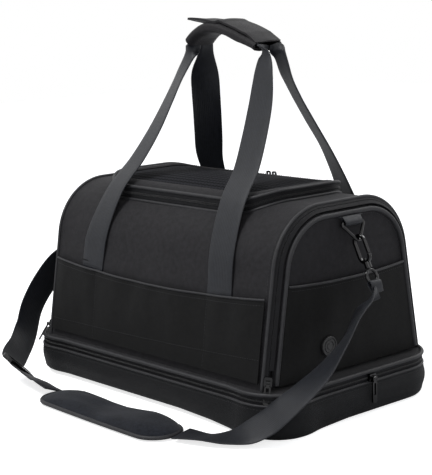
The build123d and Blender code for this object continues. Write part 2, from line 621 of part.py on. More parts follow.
def make_handle():
    radius, middle, angle = grip_arc()
    end_x = radius * sin(radians(angle))
    end_z = middle + radius * cos(radians(angle))
    along = Vector(cos(radians(angle)), 0, -sin(radians(angle)))
    for row, leg, side_sign in (("front", FRONT_LEG, -1), ("rear", REAR_LEG, 1)):
        solids = []
        for side in (-1, 1):
            table = LEG_TWIST[(row, side)]
            lane = GRIP_Y + side_sign * (GATHER + LANE_GAP) / 2
            top = (side * (end_x + LEG_CLEAR * along.X), lane, end_z + LEG_CLEAR * along.Z)
            mouth = (top[0] + side * MOUTH_OUT, lane + side_sign * MOUTH_ASIDE, top[2] - MOUTH_DOWN)
            foot = (
                side * LEG_X,
                side_sign * (side_y(LEG_FOOT) + WEBBING_THICK / 2 + LEG_CLEAR),
                LEG_FOOT,
            )
            height = top[2] - foot[2]
            stations = [(foot, (1, 0, 0), WEBBING, WEBBING_THICK)]
            for (x, y, z), wide in zip(leg, LEG_WIDTH):
                share = (z - foot[2]) / height
                stations.append(((side * x, y, z), turned(twist_at(table, share)), wide, WEBBING_THICK))
            share = (mouth[2] - foot[2]) / height
            stations.append((mouth, turned(twist_at(table, share)), MOUTH_WIDTH, MOUTH_THICK))
            stations.append((top, turned(table[-1][1]), GATHER, GATHER_THICK))
            up = (0, -side_sign * sin(LEAN), cos(LEAN))
            solids.append(ribbon(stations, up, (-side * along.X, 0, -along.Z)))
        place(f"{row}_carry_straps", Compound(children=solids))

    cores = []
    for side_sign in (-1, 1):
        lane = side_sign * (GATHER + LANE_GAP) / 2
        cores.append(arc_sweep(Pos(lane, 0) * Rectangle(GATHER, GATHER_THICK), angle))
    place("grip_webbing", Compound(children=cores))

    wrap = RectangleRounded(GRIP_WIDTH, GRIP_DEPTH, GRIP_ROUND)
    wrap -= Rectangle(GRIP_BORE_WIDTH, GRIP_BORE_DEPTH)
    place("grip_wrap", arc_sweep(wrap, angle))

    flap_low = GRIP_DEPTH / 2 + GRIP_FLAP_GAP
    flap = Pos(0, flap_low + GRIP_FLAP / 2) * Rectangle(GRIP_WIDTH - 2 * GRIP_FLAP_MARGIN, GRIP_FLAP)
    place("grip_flap", arc_sweep(flap, angle - GRIP_FLAP_SHORT))


# ------------------------------------------------------------------ ring, hook and swivel eye
def ring_plane():
    """Plane of the hanging ring: X along its bar, -Y down the hook, Z away from the door."""
    tilt = radians(RING_TILT)
    return Plane(origin=(DOOR_FACE + RING_OUT, RING_Y, RING_Z), x_dir=(0, 1, 0), z_dir=(cos(tilt), 0, sin(tilt)))


def make_ring():
    half = RING_WIDTH / 2
    corners = ((half, 0), (RING_FLAT / 2, -RING_DEPTH), (-RING_FLAT / 2, -RING_DEPTH), (-half, 0))
    outline = make_face(Polyline(*corners, close=True))
    path = fillet(outline.vertices(), RING_BEND).wire()
    ring = sweep(Plane(origin=path @ 0, z_dir=path % 0) * Circle(RING_WIRE), path=path)
    both_ends("strap_ring", ring_plane() * ring)

    # webbing tab folded round the bar and sewn under the door's piping
    bore = RING_WIRE + TAB_CLEAR
    bar = Plane(origin=(DOOR_FACE + RING_OUT, RING_Y, RING_Z), x_dir=(1, 0, 0), z_dir=(0, -1, 0))
    top_z = CABIN_TOP - DOOR_INSET - 2 * DOOR_PIPING - DOOR_GAP - RING_Z
    seat = -RING_OUT
    rim = extrude(bar * Circle(bore + TAB_SKIN), TAB_WIDTH / 2, both=True)
    neck_face = make_face(
        Polyline((seat, 0), (seat + 2 * TAB_SKIN, 0), (seat + 2 * TAB_SKIN, top_z), (seat, top_z), close=True)
    )
    neck = extrude(bar * neck_face, TAB_TOP / 2, both=True)
    flare = make_face(
        Polyline((-TAB_WIDTH / 2, 0), (TAB_WIDTH / 2, 0), (TAB_TOP / 2, top_z), (-TAB_TOP / 2, top_z), close=True)
    )
    side = Plane(origin=(DOOR_FACE, RING_Y, RING_Z), x_dir=(0, 1, 0), z_dir=(1, 0, 0))
    neck &= extrude(side * flare, FAR)
    tab = neck + rim - extrude(bar * Circle(bore), TAB_TOP, both=True)
    tab &= slab(DOOR_FACE, FAR, -FAR, FAR, 0, FAR)
    both_ends("ring_tab", tab)


def hook_plane():
    """Plane of the hook: X away from the door, -Y down the hook, on the ring's tilt."""
    base = ring_plane()
    return Plane(origin=base.origin, x_dir=base.z_dir, z_dir=base.x_dir * -1)


def make_hook():
    top = -(RING_DEPTH - RING_WIRE - TAB_CLEAR - HOOK_WIRE)
    low = top - HOOK_LENGTH
    centre_y = (top + low) / 2
    straight = HOOK_LENGTH - 2 * HOOK_HALF
    outer = SlotOverall(HOOK_LENGTH + 2 * HOOK_WIRE, 2 * (HOOK_HALF + HOOK_WIRE), rotation=90)
    inner = SlotOverall(HOOK_LENGTH - 2 * HOOK_WIRE, 2 * (HOOK_HALF - HOOK_WIRE), rotation=90)
    link = extrude(Pos(0, centre_y) * (outer - inner), HOOK_WIRE, both=True)
    link = fillet(link.edges().filter_by(GeomType.LINE).filter_by(Axis.Y), HOOK_ROUND)
    gate_low = centre_y - straight / 2 + GATE_LOW
    gate_high = centre_y + straight / 2 + GATE_HIGH
    gap = slab(HOOK_HALF - HOOK_WIRE - OVERCUT, HOOK_HALF + 2 * HOOK_WIRE, gate_low, gate_high, -FAR, FAR)
    barrel = Pos(0, low - HOOK_BARREL_LENGTH / 2, 0) * Rot(90, 0, 0) * Cylinder(HOOK_BARREL, HOOK_BARREL_LENGTH)
    bore = Pos(0, low, 0) * Rot(90, 0, 0) * Cylinder(STEM + STEM_CLEAR, 2 * HOOK_BARREL_LENGTH + OVERCUT)
    place_hook = hook_plane()
    hook = link - gap + barrel - bore
    both_ends("snap_hook", place_hook * hook)

    gate = slab(
        HOOK_HALF - HOOK_WIRE + GATE_THIN,
        HOOK_HALF + HOOK_WIRE - GATE_THIN,
        gate_low + GATE_PIVOT_CLEAR,
        gate_high - GATE_CLEAR,
        -HOOK_WIRE + GATE_THIN,
        HOOK_WIRE - GATE_THIN,
    )
    gate = fillet(gate.edges().filter_by(Axis.Y), GATE_ROUND)
    both_ends("hook_gate", place_hook * gate)

    # swivel eye: headed stem in the barrel, and a round eye
    stem_top = low + HOOK_WIRE + STEM_ABOVE
    stem_low = low - HOOK_BARREL_LENGTH - EYE_WIRE - STEM_CLEAR
    stem = Pos(0, (stem_top + stem_low) / 2, 0) * Rot(90, 0, 0) * Cylinder(STEM, stem_top - stem_low)
    head = Pos(0, stem_top + STEM_HEAD / 2, 0) * Rot(90, 0, 0) * Cylinder(STEM + 1.0, STEM_HEAD)
    eye_y = stem_low - EYE_RADIUS
    eye = Pos(0, eye_y, 0) * Rot(0, 90, 0) * Torus(EYE_RADIUS, EYE_WIRE)
    both_ends("swivel_eye", place_hook * (stem + head + eye))
    eye_low = eye_y - EYE_RADIUS
    loop_top = eye_low + EYE_WIRE + LOOP_ROUND
    loop = Pos(0, loop_top - LOOP_LENGTH / 2, 0) * Box(LOOP_THICK, LOOP_LENGTH, LOOP_WIDTH)
    loop = fillet(loop.edges().filter_by(Axis.Z), LOOP_ROUND)
    loop -= Pos(0, eye_y, 0) * Rot(0, 90, 0) * Torus(EYE_RADIUS, EYE_WIRE + TAB_CLEAR)
    both_ends("strap_loop", place_hook * loop)
    return place_hook, loop_top - LOOP_LENGTH


# ------------------------------------------------------------------ shoulder strap
# middle line of each free stretch, from the hook to the pad, with its width direction
RIGHT_STRAP = (
    ((243.0, -16.0, 132.0), (0.74, -0.66, 0.0)),
    ((245.5, -31.0, 120.5), (0.74, -0.66, 0.10)),
    ((248.5, -46.0, 108.5), (0.76, -0.61, 0.24)),
    ((251.5, -68.0, 93.0), (0.83, -0.53, 0.17)),
    ((251.5, -96.5, 72.0), (0.87, -0.48, -0.08)),
    ((246.0, -118.5, 56.0), (0.89, -0.41, -0.20)),
    ((234.5, -135.0, 39.5), (0.91, -0.33, -0.26)),
    ((220.0, -145.5, 24.5), (0.87, -0.38, -0.32)),
    ((204.0, -156.5, 13.5), (0.80, -0.50, -0.30)),
    ((186.0, -170.5, 7.0), (0.52, -0.85, -0.08)),
    ((163.0, -184.0, 4.9), (0.25, -0.96, 0.14)),
)
LEFT_STRAP = (
    ((-248.0, -12.0, 131.0), (-0.10, 0.75, -0.65)),
    ((-250.0, -38.0, 127.0), (-0.05, 0.50, -0.86)),
    ((-249.0, -70.0, 126.0), (-0.05, 0.50, -0.86)),
    ((-247.0, -100.0, 104.0), (-0.10, 0.75, -0.65)),
    ((-246.0, -122.0, 76.0), (-0.15, 0.88, -0.45)),
    ((-242.0, -139.5, 48.5), (-0.17, 0.94, -0.30)),
    ((-223.0, -162.5, 32.0), (-0.28, 0.86, -0.42)),
    *((tuple(Vector(*ADJUSTER_MIDDLE) + Vector(*ADJUSTER_RUN) * k), (-0.13, 0.75, -0.65)) for k in (-1, 0, 1)),
    ((-150.0, -190.5, 11.5), (0.02, 0.90, -0.42)),
    ((-124.0, -195.0, 6.4), (0.03, 0.98, -0.19)),
)


def pad_location():
    return Pos(PAD_MIDDLE[0], PAD_MIDDLE[1], 0) * Rot(0, 0, PAD_TURN)


def make_strap(hook, loop_end):
    start = hook.from_local_coords(Vector(0, loop_end - TAB_CLEAR, 0))
    for name, points, side in (("right", RIGHT_STRAP, 1), ("left", LEFT_STRAP, -1)):
        first = (side * start.X, start.Y, start.Z)
        stations = [(first, (0, -side, 0), LOOP_WIDTH, LOOP_WEBBING)]
        stations.append((points[0][0], points[0][1], NECK_WIDTH, NECK_THICK))
        stations += [(p, w, WEBBING, WEBBING_THICK) for p, w in points[1:]]
        end = pad_location() * Pos(side * (PAD_LENGTH / 2 + PAD_CLEAR), STRAP_ENTRY[side], PAD_SEAM)
        stations.append((tuple(end.position), (0, -side, 0), WEBBING, WEBBING_THICK))
        down = hook.y_dir * -1
        inwards = pad_location() * Pos(-side, 0, 0)
        heading = tuple(inwards.position - pad_location().position)
        place(f"{name}_strap", ribbon(stations, (side * down.X, down.Y, down.Z), heading))


def make_pad():
    """Shoulder pad: flat below, crowned above, round ends."""
    sections = []
    for height, inset in PAD_PROFILE:
        outline = RectangleRounded(PAD_LENGTH - 2 * inset, PAD_WIDTH - 2 * inset, PAD_ROUND - inset)
        sections.append(Pos(0, 0, height * PAD_THICK) * outline)
    place("shoulder_pad", pad_location() * loft(sections, ruled=True))


def make_adjuster():
    """Three-bar slide on the left-hand stretch."""
    across = next(Vector(*width) for point, width in LEFT_STRAP if point == ADJUSTER_MIDDLE)
    heading = Vector(*ADJUSTER_RUN).normalized()
    across = (across - heading * across.dot(heading)).normalized()
    outwards = heading.cross(across)
    lift = (ADJUSTER_THICK + WEBBING_THICK) / 2 + ADJUSTER_CLEAR
    plane = Plane(origin=Vector(*ADJUSTER_MIDDLE) + outwards * lift, x_dir=across, z_dir=outwards)
    frame = RectangleRounded(ADJUSTER_WIDTH, ADJUSTER_LENGTH, ADJUSTER_CORNER)
    frame -= RectangleRounded(ADJUSTER_WIDTH - 2 * ADJUSTER_FRAME, ADJUSTER_LENGTH - 2 * ADJUSTER_FRAME, SLIDER_ROUND)
    solid = extrude(frame, ADJUSTER_THICK / 2, both=True)
    place("strap_adjuster", plane * solid)


make_tray()
make_mat()
make_cabin_shell()
make_end_frames()
make_front_pocket()
make_anchors()
make_doors()
make_top_flap()
make_sliders()
make_handle()
make_ring()
hook, loop_end = make_hook()
make_strap(hook, loop_end)
make_pad()
make_adjuster()
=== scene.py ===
"""Looks of a soft pet carrier bag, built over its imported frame. Metres, X along the bag, -Y front, +Z up."""
import json
from math import asin, cos, exp, pi, radians, sin, sqrt, tan

import bmesh
import bpy
from mathutils import Matrix, Vector, noise


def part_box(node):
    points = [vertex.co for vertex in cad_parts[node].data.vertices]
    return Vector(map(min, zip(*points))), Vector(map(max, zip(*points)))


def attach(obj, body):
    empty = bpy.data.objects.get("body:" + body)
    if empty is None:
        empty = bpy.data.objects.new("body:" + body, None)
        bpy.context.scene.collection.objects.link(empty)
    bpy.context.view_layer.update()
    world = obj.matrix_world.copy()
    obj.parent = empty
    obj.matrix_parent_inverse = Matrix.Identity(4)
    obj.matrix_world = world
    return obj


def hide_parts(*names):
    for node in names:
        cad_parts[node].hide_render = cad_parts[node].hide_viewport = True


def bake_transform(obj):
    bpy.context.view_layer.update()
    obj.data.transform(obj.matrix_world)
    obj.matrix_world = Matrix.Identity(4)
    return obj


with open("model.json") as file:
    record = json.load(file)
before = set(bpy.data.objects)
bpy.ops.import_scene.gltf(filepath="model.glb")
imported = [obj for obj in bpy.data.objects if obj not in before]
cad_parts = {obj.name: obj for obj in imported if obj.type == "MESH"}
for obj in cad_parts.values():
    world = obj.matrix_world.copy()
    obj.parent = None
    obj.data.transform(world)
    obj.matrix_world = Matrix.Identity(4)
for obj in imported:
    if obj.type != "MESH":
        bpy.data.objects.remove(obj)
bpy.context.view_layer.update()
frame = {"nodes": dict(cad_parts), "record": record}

MM = 0.001

# --- sizes read from the frame
TRAY_X, TRAY_Y, TRAY_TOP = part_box("tray_wall")[1]
FLOOR_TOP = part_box("tray_floor")[1][2]
RIM_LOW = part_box("base_zip_upper")[1][2]
CABIN_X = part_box("front_panel")[1][0]
CABIN_FOOT_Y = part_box("rear_panel")[1][1]
RIM_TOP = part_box("front_panel")[0][2]
CABIN_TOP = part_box("top_panel")[1][2]
DOOR_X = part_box("right_door_panel")[1][0]
DOOR_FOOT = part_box("right_door_panel")[0][2]
DOOR_THICK = DOOR_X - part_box("right_door_panel")[0][0]
FLAP_X, FLAP_Y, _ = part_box("flap_edge")[1]
MESH_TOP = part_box("flap_mesh")[1][2]
BADGE_LOW, BADGE_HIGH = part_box("right_badge")

# --- sizes that the frame's boxes don't give
TRAY_CORNER = 55 * MM
TRAY_ROUND = 1.38             # way round the tray
WALL = 4 * MM
LEAN = radians(9.4)
SHOULDER = 73 * MM
RIM_PIPING = 2.3 * MM
EDGE_BEVEL = 7 * MM
DOOR_INSET = 9.8 * MM
DOOR_PIPING = 2.8 * MM
DOOR_POCKET_TOP = 160 * MM
FLAP_CORNER = 50 * MM
FLAP_BAND = 17 * MM
OPENING_LIP = 12 * MM
CURB = 6 * MM
CURB_WIDTH = 4 * MM
FLAP_LIFT = 6.3 * MM
FLAP_EDGE = 7 * MM
POCKET_X = 190 * MM
POCKET_FOOT = 57 * MM
POCKET_TOP = 147 * MM
POCKET_SAG = 9 * MM
WEBBING = 40 * MM
WEBBING_THICK = 1.6 * MM
LEG_X = 117 * MM
LEG_FOOT = 150 * MM
PUFF = 2.6 * MM               # how far the padded sides stand out in their middle


# --- shader effects
def node(tree, kind, **settings):
    made = tree.nodes.new("ShaderNode" + kind)
    for key, value in settings.items():
        setattr(made, key, value)
    return made


def feed(tree, socket, value):
    if isinstance(value, bpy.types.NodeSocket):
        tree.links.new(value, socket)
    else:
        socket.default_value = value


def calc(tree, operation, *values):
    made = node(tree, "Math", operation=operation)
    for socket, value in zip(made.inputs, values):
        feed(tree, socket, value)
    return made.outputs[0]


def sine(tree, value, rate):
    return calc(tree, "SINE", calc(tree, "MULTIPLY", value, rate))


def scaled(tree, place, pitch):
    """The place measured in pitches, as separate X, Y and Z."""
    shrink = node(tree, "VectorMath", operation="SCALE")
    feed(tree, shrink.inputs[0], place)
    feed(tree, shrink.inputs["Scale"], calc(tree, "DIVIDE", 1.0, pitch))
    parts = node(tree, "SeparateXYZ")
    tree.links.new(shrink.outputs[0], parts.inputs[0])
    return shrink.outputs[0], parts.outputs


def speckle(tree, place, scale, detail=2.0, rough=0.6):
    made = node(tree, "TexNoise")
    for label, value in (("Vector", place), ("Scale", scale), ("Detail", detail), ("Roughness", rough)):
        feed(tree, made.inputs[label], value)
    return made.outputs["Fac"]


def plain_weave(tree, place, pitch):
    """Over-and-under threads; works on a UV map and on Object coordinates."""
    place, (x, y, z) = scaled(tree, place, pitch)
    warp, weft = (sine(tree, calc(tree, "ADD", way, z), 2 * pi) for way in (x, y))
    crossing = calc(tree, "MULTIPLY_ADD", calc(tree, "MULTIPLY", warp, weft), 0.5, 0.5)
    yarn = speckle(tree, place, 0.35)
    return calc(tree, "MULTIPLY_ADD", yarn, 0.6, crossing), yarn


def ribbed_webbing(tree, place, pitch):
    """Lengthwise ribs crossed by fine picks: X across the webbing, Y along it."""
    place, (x, y, _) = scaled(tree, place, pitch)
    rib = calc(tree, "ABSOLUTE", sine(tree, x, pi))
    pick = sine(tree, calc(tree, "ADD", y, calc(tree, "FLOOR", x)), 2 * pi)
    return calc(tree, "MULTIPLY_ADD", pick, 0.3, rib), speckle(tree, place, 0.5)


def punched_holes(tree, place, pitch):
    """Rows of round holes set corner to corner. Hole is 1 in a hole and 0 on the cloth."""
    _, (x, y, _) = scaled(tree, place, pitch)
    peak = calc(tree, "ABSOLUTE", calc(tree, "MULTIPLY", sine(tree, x, pi), sine(tree, y, pi)))
    cone = calc(tree, "MAXIMUM", calc(tree, "MULTIPLY_ADD", peak, 5.0, -2.1), 0.0)
    hole = calc(tree, "SMOOTH_MIN", cone, 1.0, 0.1)
    return calc(tree, "SUBTRACT", 1.0, hole), hole


def mottle(tree, place, scale):
    """Slow patches over a surface, for dust and handling."""
    return (speckle(tree, place, scale, 3.0),)


def effect(name, amount, labels, build):
    """Node group round build, which turns a place and an amount into a value for each label."""
    tree = bpy.data.node_groups.new(name, "ShaderNodeTree")
    tree.interface.new_socket("Place", in_out="INPUT", socket_type="NodeSocketVector")
    tree.interface.new_socket(amount, in_out="INPUT", socket_type="NodeSocketFloat")
    for label in labels:
        tree.interface.new_socket(label, in_out="OUTPUT", socket_type="NodeSocketFloat")
    given = tree.nodes.new("NodeGroupInput").outputs
    results = tree.nodes.new("NodeGroupOutput").inputs
    for label, value in zip(labels, build(tree, given["Place"], given[amount])):
        tree.links.new(value, results[label])
    return tree


EFFECTS = {
    "weave": effect("plain weave", "Pitch", ("Height", "Yarn"), plain_weave),
    "webbing": effect("ribbed webbing", "Pitch", ("Height", "Yarn"), ribbed_webbing),
    "holes": effect("punched holes", "Pitch", ("Height", "Hole"), punched_holes),
    "mottle": effect("mottle", "Scale", ("Patch",), mottle),
}


def use(tree, effect_name, place, value):
    made = tree.nodes.new("ShaderNodeGroup")
    made.node_tree = EFFECTS[effect_name]
    feed(tree, made.inputs["Place"], place)
    made.inputs[1].default_value = value
    return made.outputs


# --- materials
def start_material(name, **sockets):
    material = bpy.data.materials.new(name)
    material.use_nodes = True
    surface = material.node_tree.nodes["Principled BSDF"]
    for label, value in sockets.items():
        surface.inputs[label.replace("_", " ")].default_value = value
    return material, material.node_tree, surface


def paint(tree, surface, colour, amount, low, high):
    """Base colour, from low to high times a colour as amount goes from 0 to 1."""
    mix = node(tree, "MixRGB")
    for socket, times in zip(mix.inputs[1:], (low, high)):
        socket.default_value = (*(c * times for c in colour), 1)
    feed(tree, mix.inputs[0], amount)
    tree.links.new(mix.outputs[0], surface.inputs["Base Color"])


def roughen(tree, surface, grain, spread, rough):
    """Roughness that a grain spreads evenly about its middle."""
    varied = calc(tree, "MULTIPLY_ADD", grain, spread, rough - spread / 2)
    tree.links.new(varied, surface.inputs["Roughness"])


def emboss(tree, surface, height, strength, depth):
    bump = node(tree, "Bump")
    for label, value in (("Strength", strength), ("Distance", depth), ("Height", height)):
        feed(tree, bump.inputs[label], value)
    tree.links.new(bump.outputs[0], surface.inputs["Normal"])


def fabric(name, colour, pitch, rough, sheen, kind="weave", where="UV", gleam=0.14):
    """Woven cloth: thread relief, uneven yarn, slubs and slow mottling; the relief also darkens the colour in its
    hollows as painted shade.
    """
    material, tree, surface = start_material(
        name, Sheen_Weight=sheen, Sheen_Roughness=0.45, Specular_IOR_Level=gleam
    )
    places = node(tree, "TexCoord").outputs
    height, yarn = use(tree, kind, places[where], pitch)
    patch = use(tree, "mottle", places["Object"], 14.0)["Patch"]
    slub = calc(tree, "SUBTRACT", speckle(tree, places["Object"], 170.0, 4.0), 0.5)
    tone = calc(tree, "MULTIPLY_ADD", patch, 0.7, -0.12)
    # The weave's height darkens the colour where the threads dip: painted shade in the weave's hollows.
    for mark, share in ((yarn, 0.55), (height, 0.12), (slub, 2.6)):
        tone = calc(tree, "MULTIPLY_ADD", mark, share, tone)
    paint(tree, surface, colour, tone, 0.7, 1.3)
    roughen(tree, surface, yarn, 0.2, rough)
    emboss(tree, surface, height, 0.55, 0.16 * MM)
    return material


def knit(name, colour, grain, rough):
    """Melange knit: pale and dark flecks with a short nap."""
    material, tree, surface = start_material(
        name, Sheen_Weight=0.12, Sheen_Roughness=0.5, Specular_IOR_Level=0.12, Roughness=rough
    )
    place = node(tree, "TexCoord").outputs["Object"]
    fleck = speckle(tree, place, 1 / grain, 4.0, 0.75)
    patch = use(tree, "mottle", place, 40.0)["Patch"]
    tone = calc(tree, "MULTIPLY_ADD", calc(tree, "SUBTRACT", fleck, 0.5), 2.2, patch)
    paint(tree, surface, colour, tone, 0.45, 1.55)
    emboss(tree, surface, fleck, 0.5, 0.5 * MM)
    return material


def perforated(name, colour, pitch):
    """Air mesh: punched holes over a matt cloth, the holes painted near black as painted shade of the dark inside
    seen through them.
    """
    material, tree, surface = start_material(name, Sheen_Weight=0.0, Specular_IOR_Level=0.03, Roughness=0.8)
    height, hole = use(tree, "holes", node(tree, "TexCoord").outputs["UV"], pitch)
    # Holes take 5% of the cloth's colour: painted shade of the inside behind them.
    paint(tree, surface, colour, hole, 1, 0.05)
    emboss(tree, surface, height, 0.8, 0.5 * MM)
    return material


def hard(name, colour, rough, grain, patches, unevenness, relief, **sockets):
    """Hard surface: a fine grain in its gloss and relief, and slow patches in its colour."""
    material, tree, surface = start_material(name, **sockets)
    place = node(tree, "TexCoord").outputs["Object"]
    fine = speckle(tree, place, *grain)
    tint, gloss = unevenness
    paint(tree, surface, colour, use(tree, "mottle", place, patches)["Patch"], 1 - tint, 1 + tint)
    roughen(tree, surface, fine, gloss, rough)
    emboss(tree, surface, fine, *relief)
    return material


def gloss_metal(name, colour, rough):
    """Dark lacquer over metal, a little uneven, with hair-fine rubs."""
    return hard(name, colour, rough, (900.0, 4.0), 120.0, (0.3, 0.16), (0.12, 0.08 * MM),
                Metallic=0.75, Coat_Weight=0.5, Coat_Roughness=0.08, Specular_IOR_Level=0.6)


def moulded(name, colour, rough):
    """Matt moulded rubber or board with a fine grain."""
    return hard(name, colour, rough, (1500.0, 3.0), 30.0, (0.2, 0.2), (0.3, 0.1 * MM), Specular_IOR_Level=0.4)


FINISH = {
    "shell_cloth": fabric("shell cloth", (0.0135, 0.013, 0.0145), 1.1 * MM, 0.7, 0.05),
    "tray_cloth": fabric("tray cloth", (0.0054, 0.0057, 0.0066), 1.1 * MM, 0.6, 0.03),
    "pocket_cloth": fabric("pocket cloth", (0.0042, 0.0042, 0.0043), 1.1 * MM, 0.75, 0.02),
    "piping": fabric("edge piping", (0.015, 0.015, 0.017), 1.0 * MM, 0.5, 0.05, gleam=0.3),
    "zip_tape": fabric("zip tape", (0.005, 0.005, 0.006), 0.9 * MM, 0.6, 0.02, "webbing"),
    "lining": fabric("thin lining", (0.012, 0.012, 0.014), 0.8 * MM, 0.6, 0.04),
    "webbing": fabric("webbing", (0.0066, 0.0077, 0.0108), 1.3 * MM, 0.45, 0.04, "webbing", gleam=0.28),
    "grip_cloth": fabric("grip cloth", (0.0068, 0.0062, 0.0074), 1.0 * MM, 0.55, 0.04, gleam=0.2),
    "mat_fleece": knit("short fleece", (0.13, 0.135, 0.145), 1.6 * MM, 0.95),
    "pad_knit": knit("melange knit", (0.011, 0.0125, 0.017), 3.2 * MM, 0.9),
    "mesh": perforated("air mesh", (0.021, 0.0215, 0.025), 5.6 * MM),
    "hardware": gloss_metal("gloss black metal", (0.0025, 0.0025, 0.003), 0.16),
    "badge_rubber": moulded("badge rubber", (0.009, 0.009, 0.0095), 0.42),
    "board": moulded("stiff board", (0.02, 0.02, 0.02), 0.7),
    "coil": moulded("zip coil", (0.008, 0.008, 0.009), 0.35),
    "thread": moulded("sewing thread", (0.012, 0.012, 0.014), 0.6),
    # Darker copy of the shell cloth for the cabin's end frames and door skins: painted shade on the ends.
    "shell_shaded": fabric(
        "shaded shell cloth", (0.0115, 0.011, 0.0125), 1.1 * MM, 0.7, 0.05, where="Object"),
}
for item in frame["record"]["subparts"]:
    # End frames take the darker copy of the shell cloth: painted shade.
    own = "shell_shaded" if item["node"] == "end_frames" else item["material_slot"]
    if own != "piping":
        carried = frame["nodes"][item["node"]].data.materials
        carried.clear()
        carried.append(FINISH[own])


# --- making pieces
def mesh_from(name, bm):
    mesh = bpy.data.meshes.new(name)
    bm.to_mesh(mesh)
    bm.free()
    return mesh


def add_object(name, data):
    made = bpy.data.objects.new(name, data)
    bpy.context.scene.collection.objects.link(made)
    return made


def finish_piece(name, bm, slot, body=None, nodes=(), bridge=None, finish=None, crease=40):
    """Turn a bmesh into a piece that stands for nodes and rides on a body; given a bridge, it is baked where it
    stands and rides on none.
    """
    for face in bm.faces:
        face.smooth = True
    for edge in bm.edges:
        if len(edge.link_faces) == 2 and edge.calc_face_angle(0) > radians(crease):
            edge.smooth = False
    piece = add_object(name, mesh_from(name, bm))
    piece.data.materials.append(FINISH[finish or slot])
    if nodes:
        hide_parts(*nodes)
    if bridge:
        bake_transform(piece)
    elif body:
        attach(piece, body)
    return piece


def skin(cells, put, size, thick=0.0, capped=False):
    """Cells laid out by put(u, v), with a UV map in metres of the given size: merged where they meet, or thick."""
    bm = bmesh.new()
    bmesh.ops.create_grid(bm, x_segments=cells[0], y_segments=cells[1], size=0.5)
    uv = bm.loops.layers.uv.new("UVMap")
    for face in bm.faces:
        for loop in face.loops:
            loop[uv].uv = ((loop.vert.co.x + 0.5) * size[0], (loop.vert.co.y + 0.5) * size[1])
    for vert in bm.verts:
        vert.co = put(vert.co.x + 0.5, vert.co.y + 0.5)
    if thick:
        bm.normal_update()
        bmesh.ops.solidify(bm, geom=bm.faces[:], thickness=thick)
        return bm
    bmesh.ops.remove_doubles(bm, verts=bm.verts, dist=0.01 * MM)
    bmesh.ops.dissolve_degenerate(bm, edges=bm.edges, dist=0.01 * MM)
    if capped:
        bmesh.ops.holes_fill(bm, edges=[e for e in bm.edges if e.is_boundary], sides=0)
    if not any(e.is_boundary for e in bm.edges):
        bmesh.ops.recalc_face_normals(bm, faces=bm.faces)
    bm.normal_update()
    return bm


def sewn(name, cells, put, size, slot, body=None, nodes=(), thick=0.0, capped=False, **rest):
    """Piece made of one skin."""
    return finish_piece(name, skin(cells, put, size, thick, capped), slot, body, nodes, **rest)


def ripple(x, y, z):
    """Smooth uneven value, about -1 to 1."""
    return noise.noise(Vector((x, y, z)))


def clamp(value):
    return min(max(value, 0), 1)


def between(a, b, share):
    """Value, or each value of a tuple, a share of the way from a to b."""
    if isinstance(a, (int, float)):
        return a + (b - a) * share
    return tuple(p + (q - p) * share for p, q in zip(a, b))


def along(points, share):
    """Place on straight runs through points, evenly by number."""
    step = min(share, 0.999999) * (len(points) - 1)
    return between(points[int(step)], points[int(step) + 1], step - int(step))


def oblong(share, half_x, half_y, corner):
    """Point and outward direction at a share of the way round a round-cornered rectangle, from its front."""
    way = share % 1.0 * (4 * (half_x + half_y) - (8 - 2 * pi) * corner)
    for quarter in range(4):
        long, deep = (half_x, half_y) if quarter % 2 == 0 else (half_y, half_x)
        turn = Matrix.Rotation(quarter * pi / 2, 2)
        if way <= 2 * (long - corner):
            return turn @ Vector((way - long + corner, -deep)), turn @ Vector((0, -1))
        way -= 2 * (long - corner)
        if way <= corner * pi / 2:
            out = Vector((sin(way / corner), -cos(way / corner)))
            return turn @ (Vector((long - corner, corner - deep)) + corner * out), turn @ out
        way -= corner * pi / 2
    return Vector((corner - half_x, -half_y)), Vector((0, -1))


def outward(*plan):
    """Level outward direction round a round-cornered rectangle, for a route."""
    return lambda share: Vector((*oblong(share, *plan)[1], 0))


def side_y(height, inset=0.0):
    """Half width of the leaning side at a height."""
    return CABIN_FOOT_Y - tan(LEAN) * (height - RIM_TOP) - inset / cos(LEAN)


SHOULDER_Y = side_y(CABIN_TOP) - SHOULDER / tan((pi / 2 + LEAN) / 2)


def arch(share, inset=0.0, foot=RIM_TOP):
    """(y, z) and outward (y, z) at a share of the way over the cabin, from front foot to rear foot."""
    radius = SHOULDER - inset
    middle = CABIN_TOP - SHOULDER
    side = (middle + radius * sin(LEAN) - foot) / cos(LEAN)
    bend = radius * (pi / 2 - LEAN)
    whole = 2 * (side + bend + SHOULDER_Y)
    way = share * whole
    mirror = -1 if way < whole / 2 else 1
    way = min(way, whole - way)
    if way <= side:
        height = foot + way * cos(LEAN)
        spot, out = (side_y(height, inset), height), (cos(LEAN), sin(LEAN))
    elif way <= side + bend:
        angle = LEAN + (way - side) / radius
        out = (cos(angle), sin(angle))
        spot = (SHOULDER_Y + radius * out[0], middle + radius * out[1])
    else:
        spot, out = (SHOULDER_Y - (way - side - bend), middle + radius), (0, 1)
    return Vector((mirror * spot[0], spot[1])), Vector((mirror * out[0], out[1]))


ARCH_LENGTH = 2 * ((CABIN_TOP - SHOULDER * (1 - sin(LEAN)) - RIM_TOP) / cos(LEAN)
                   + SHOULDER * (pi / 2 - LEAN) + SHOULDER_Y)


def share_at(height, rear=False):
    """Share of the way over the cabin at which its side reaches a height."""
    share = (height - RIM_TOP) / cos(LEAN) / ARCH_LENGTH
    return 1 - share if rear else share


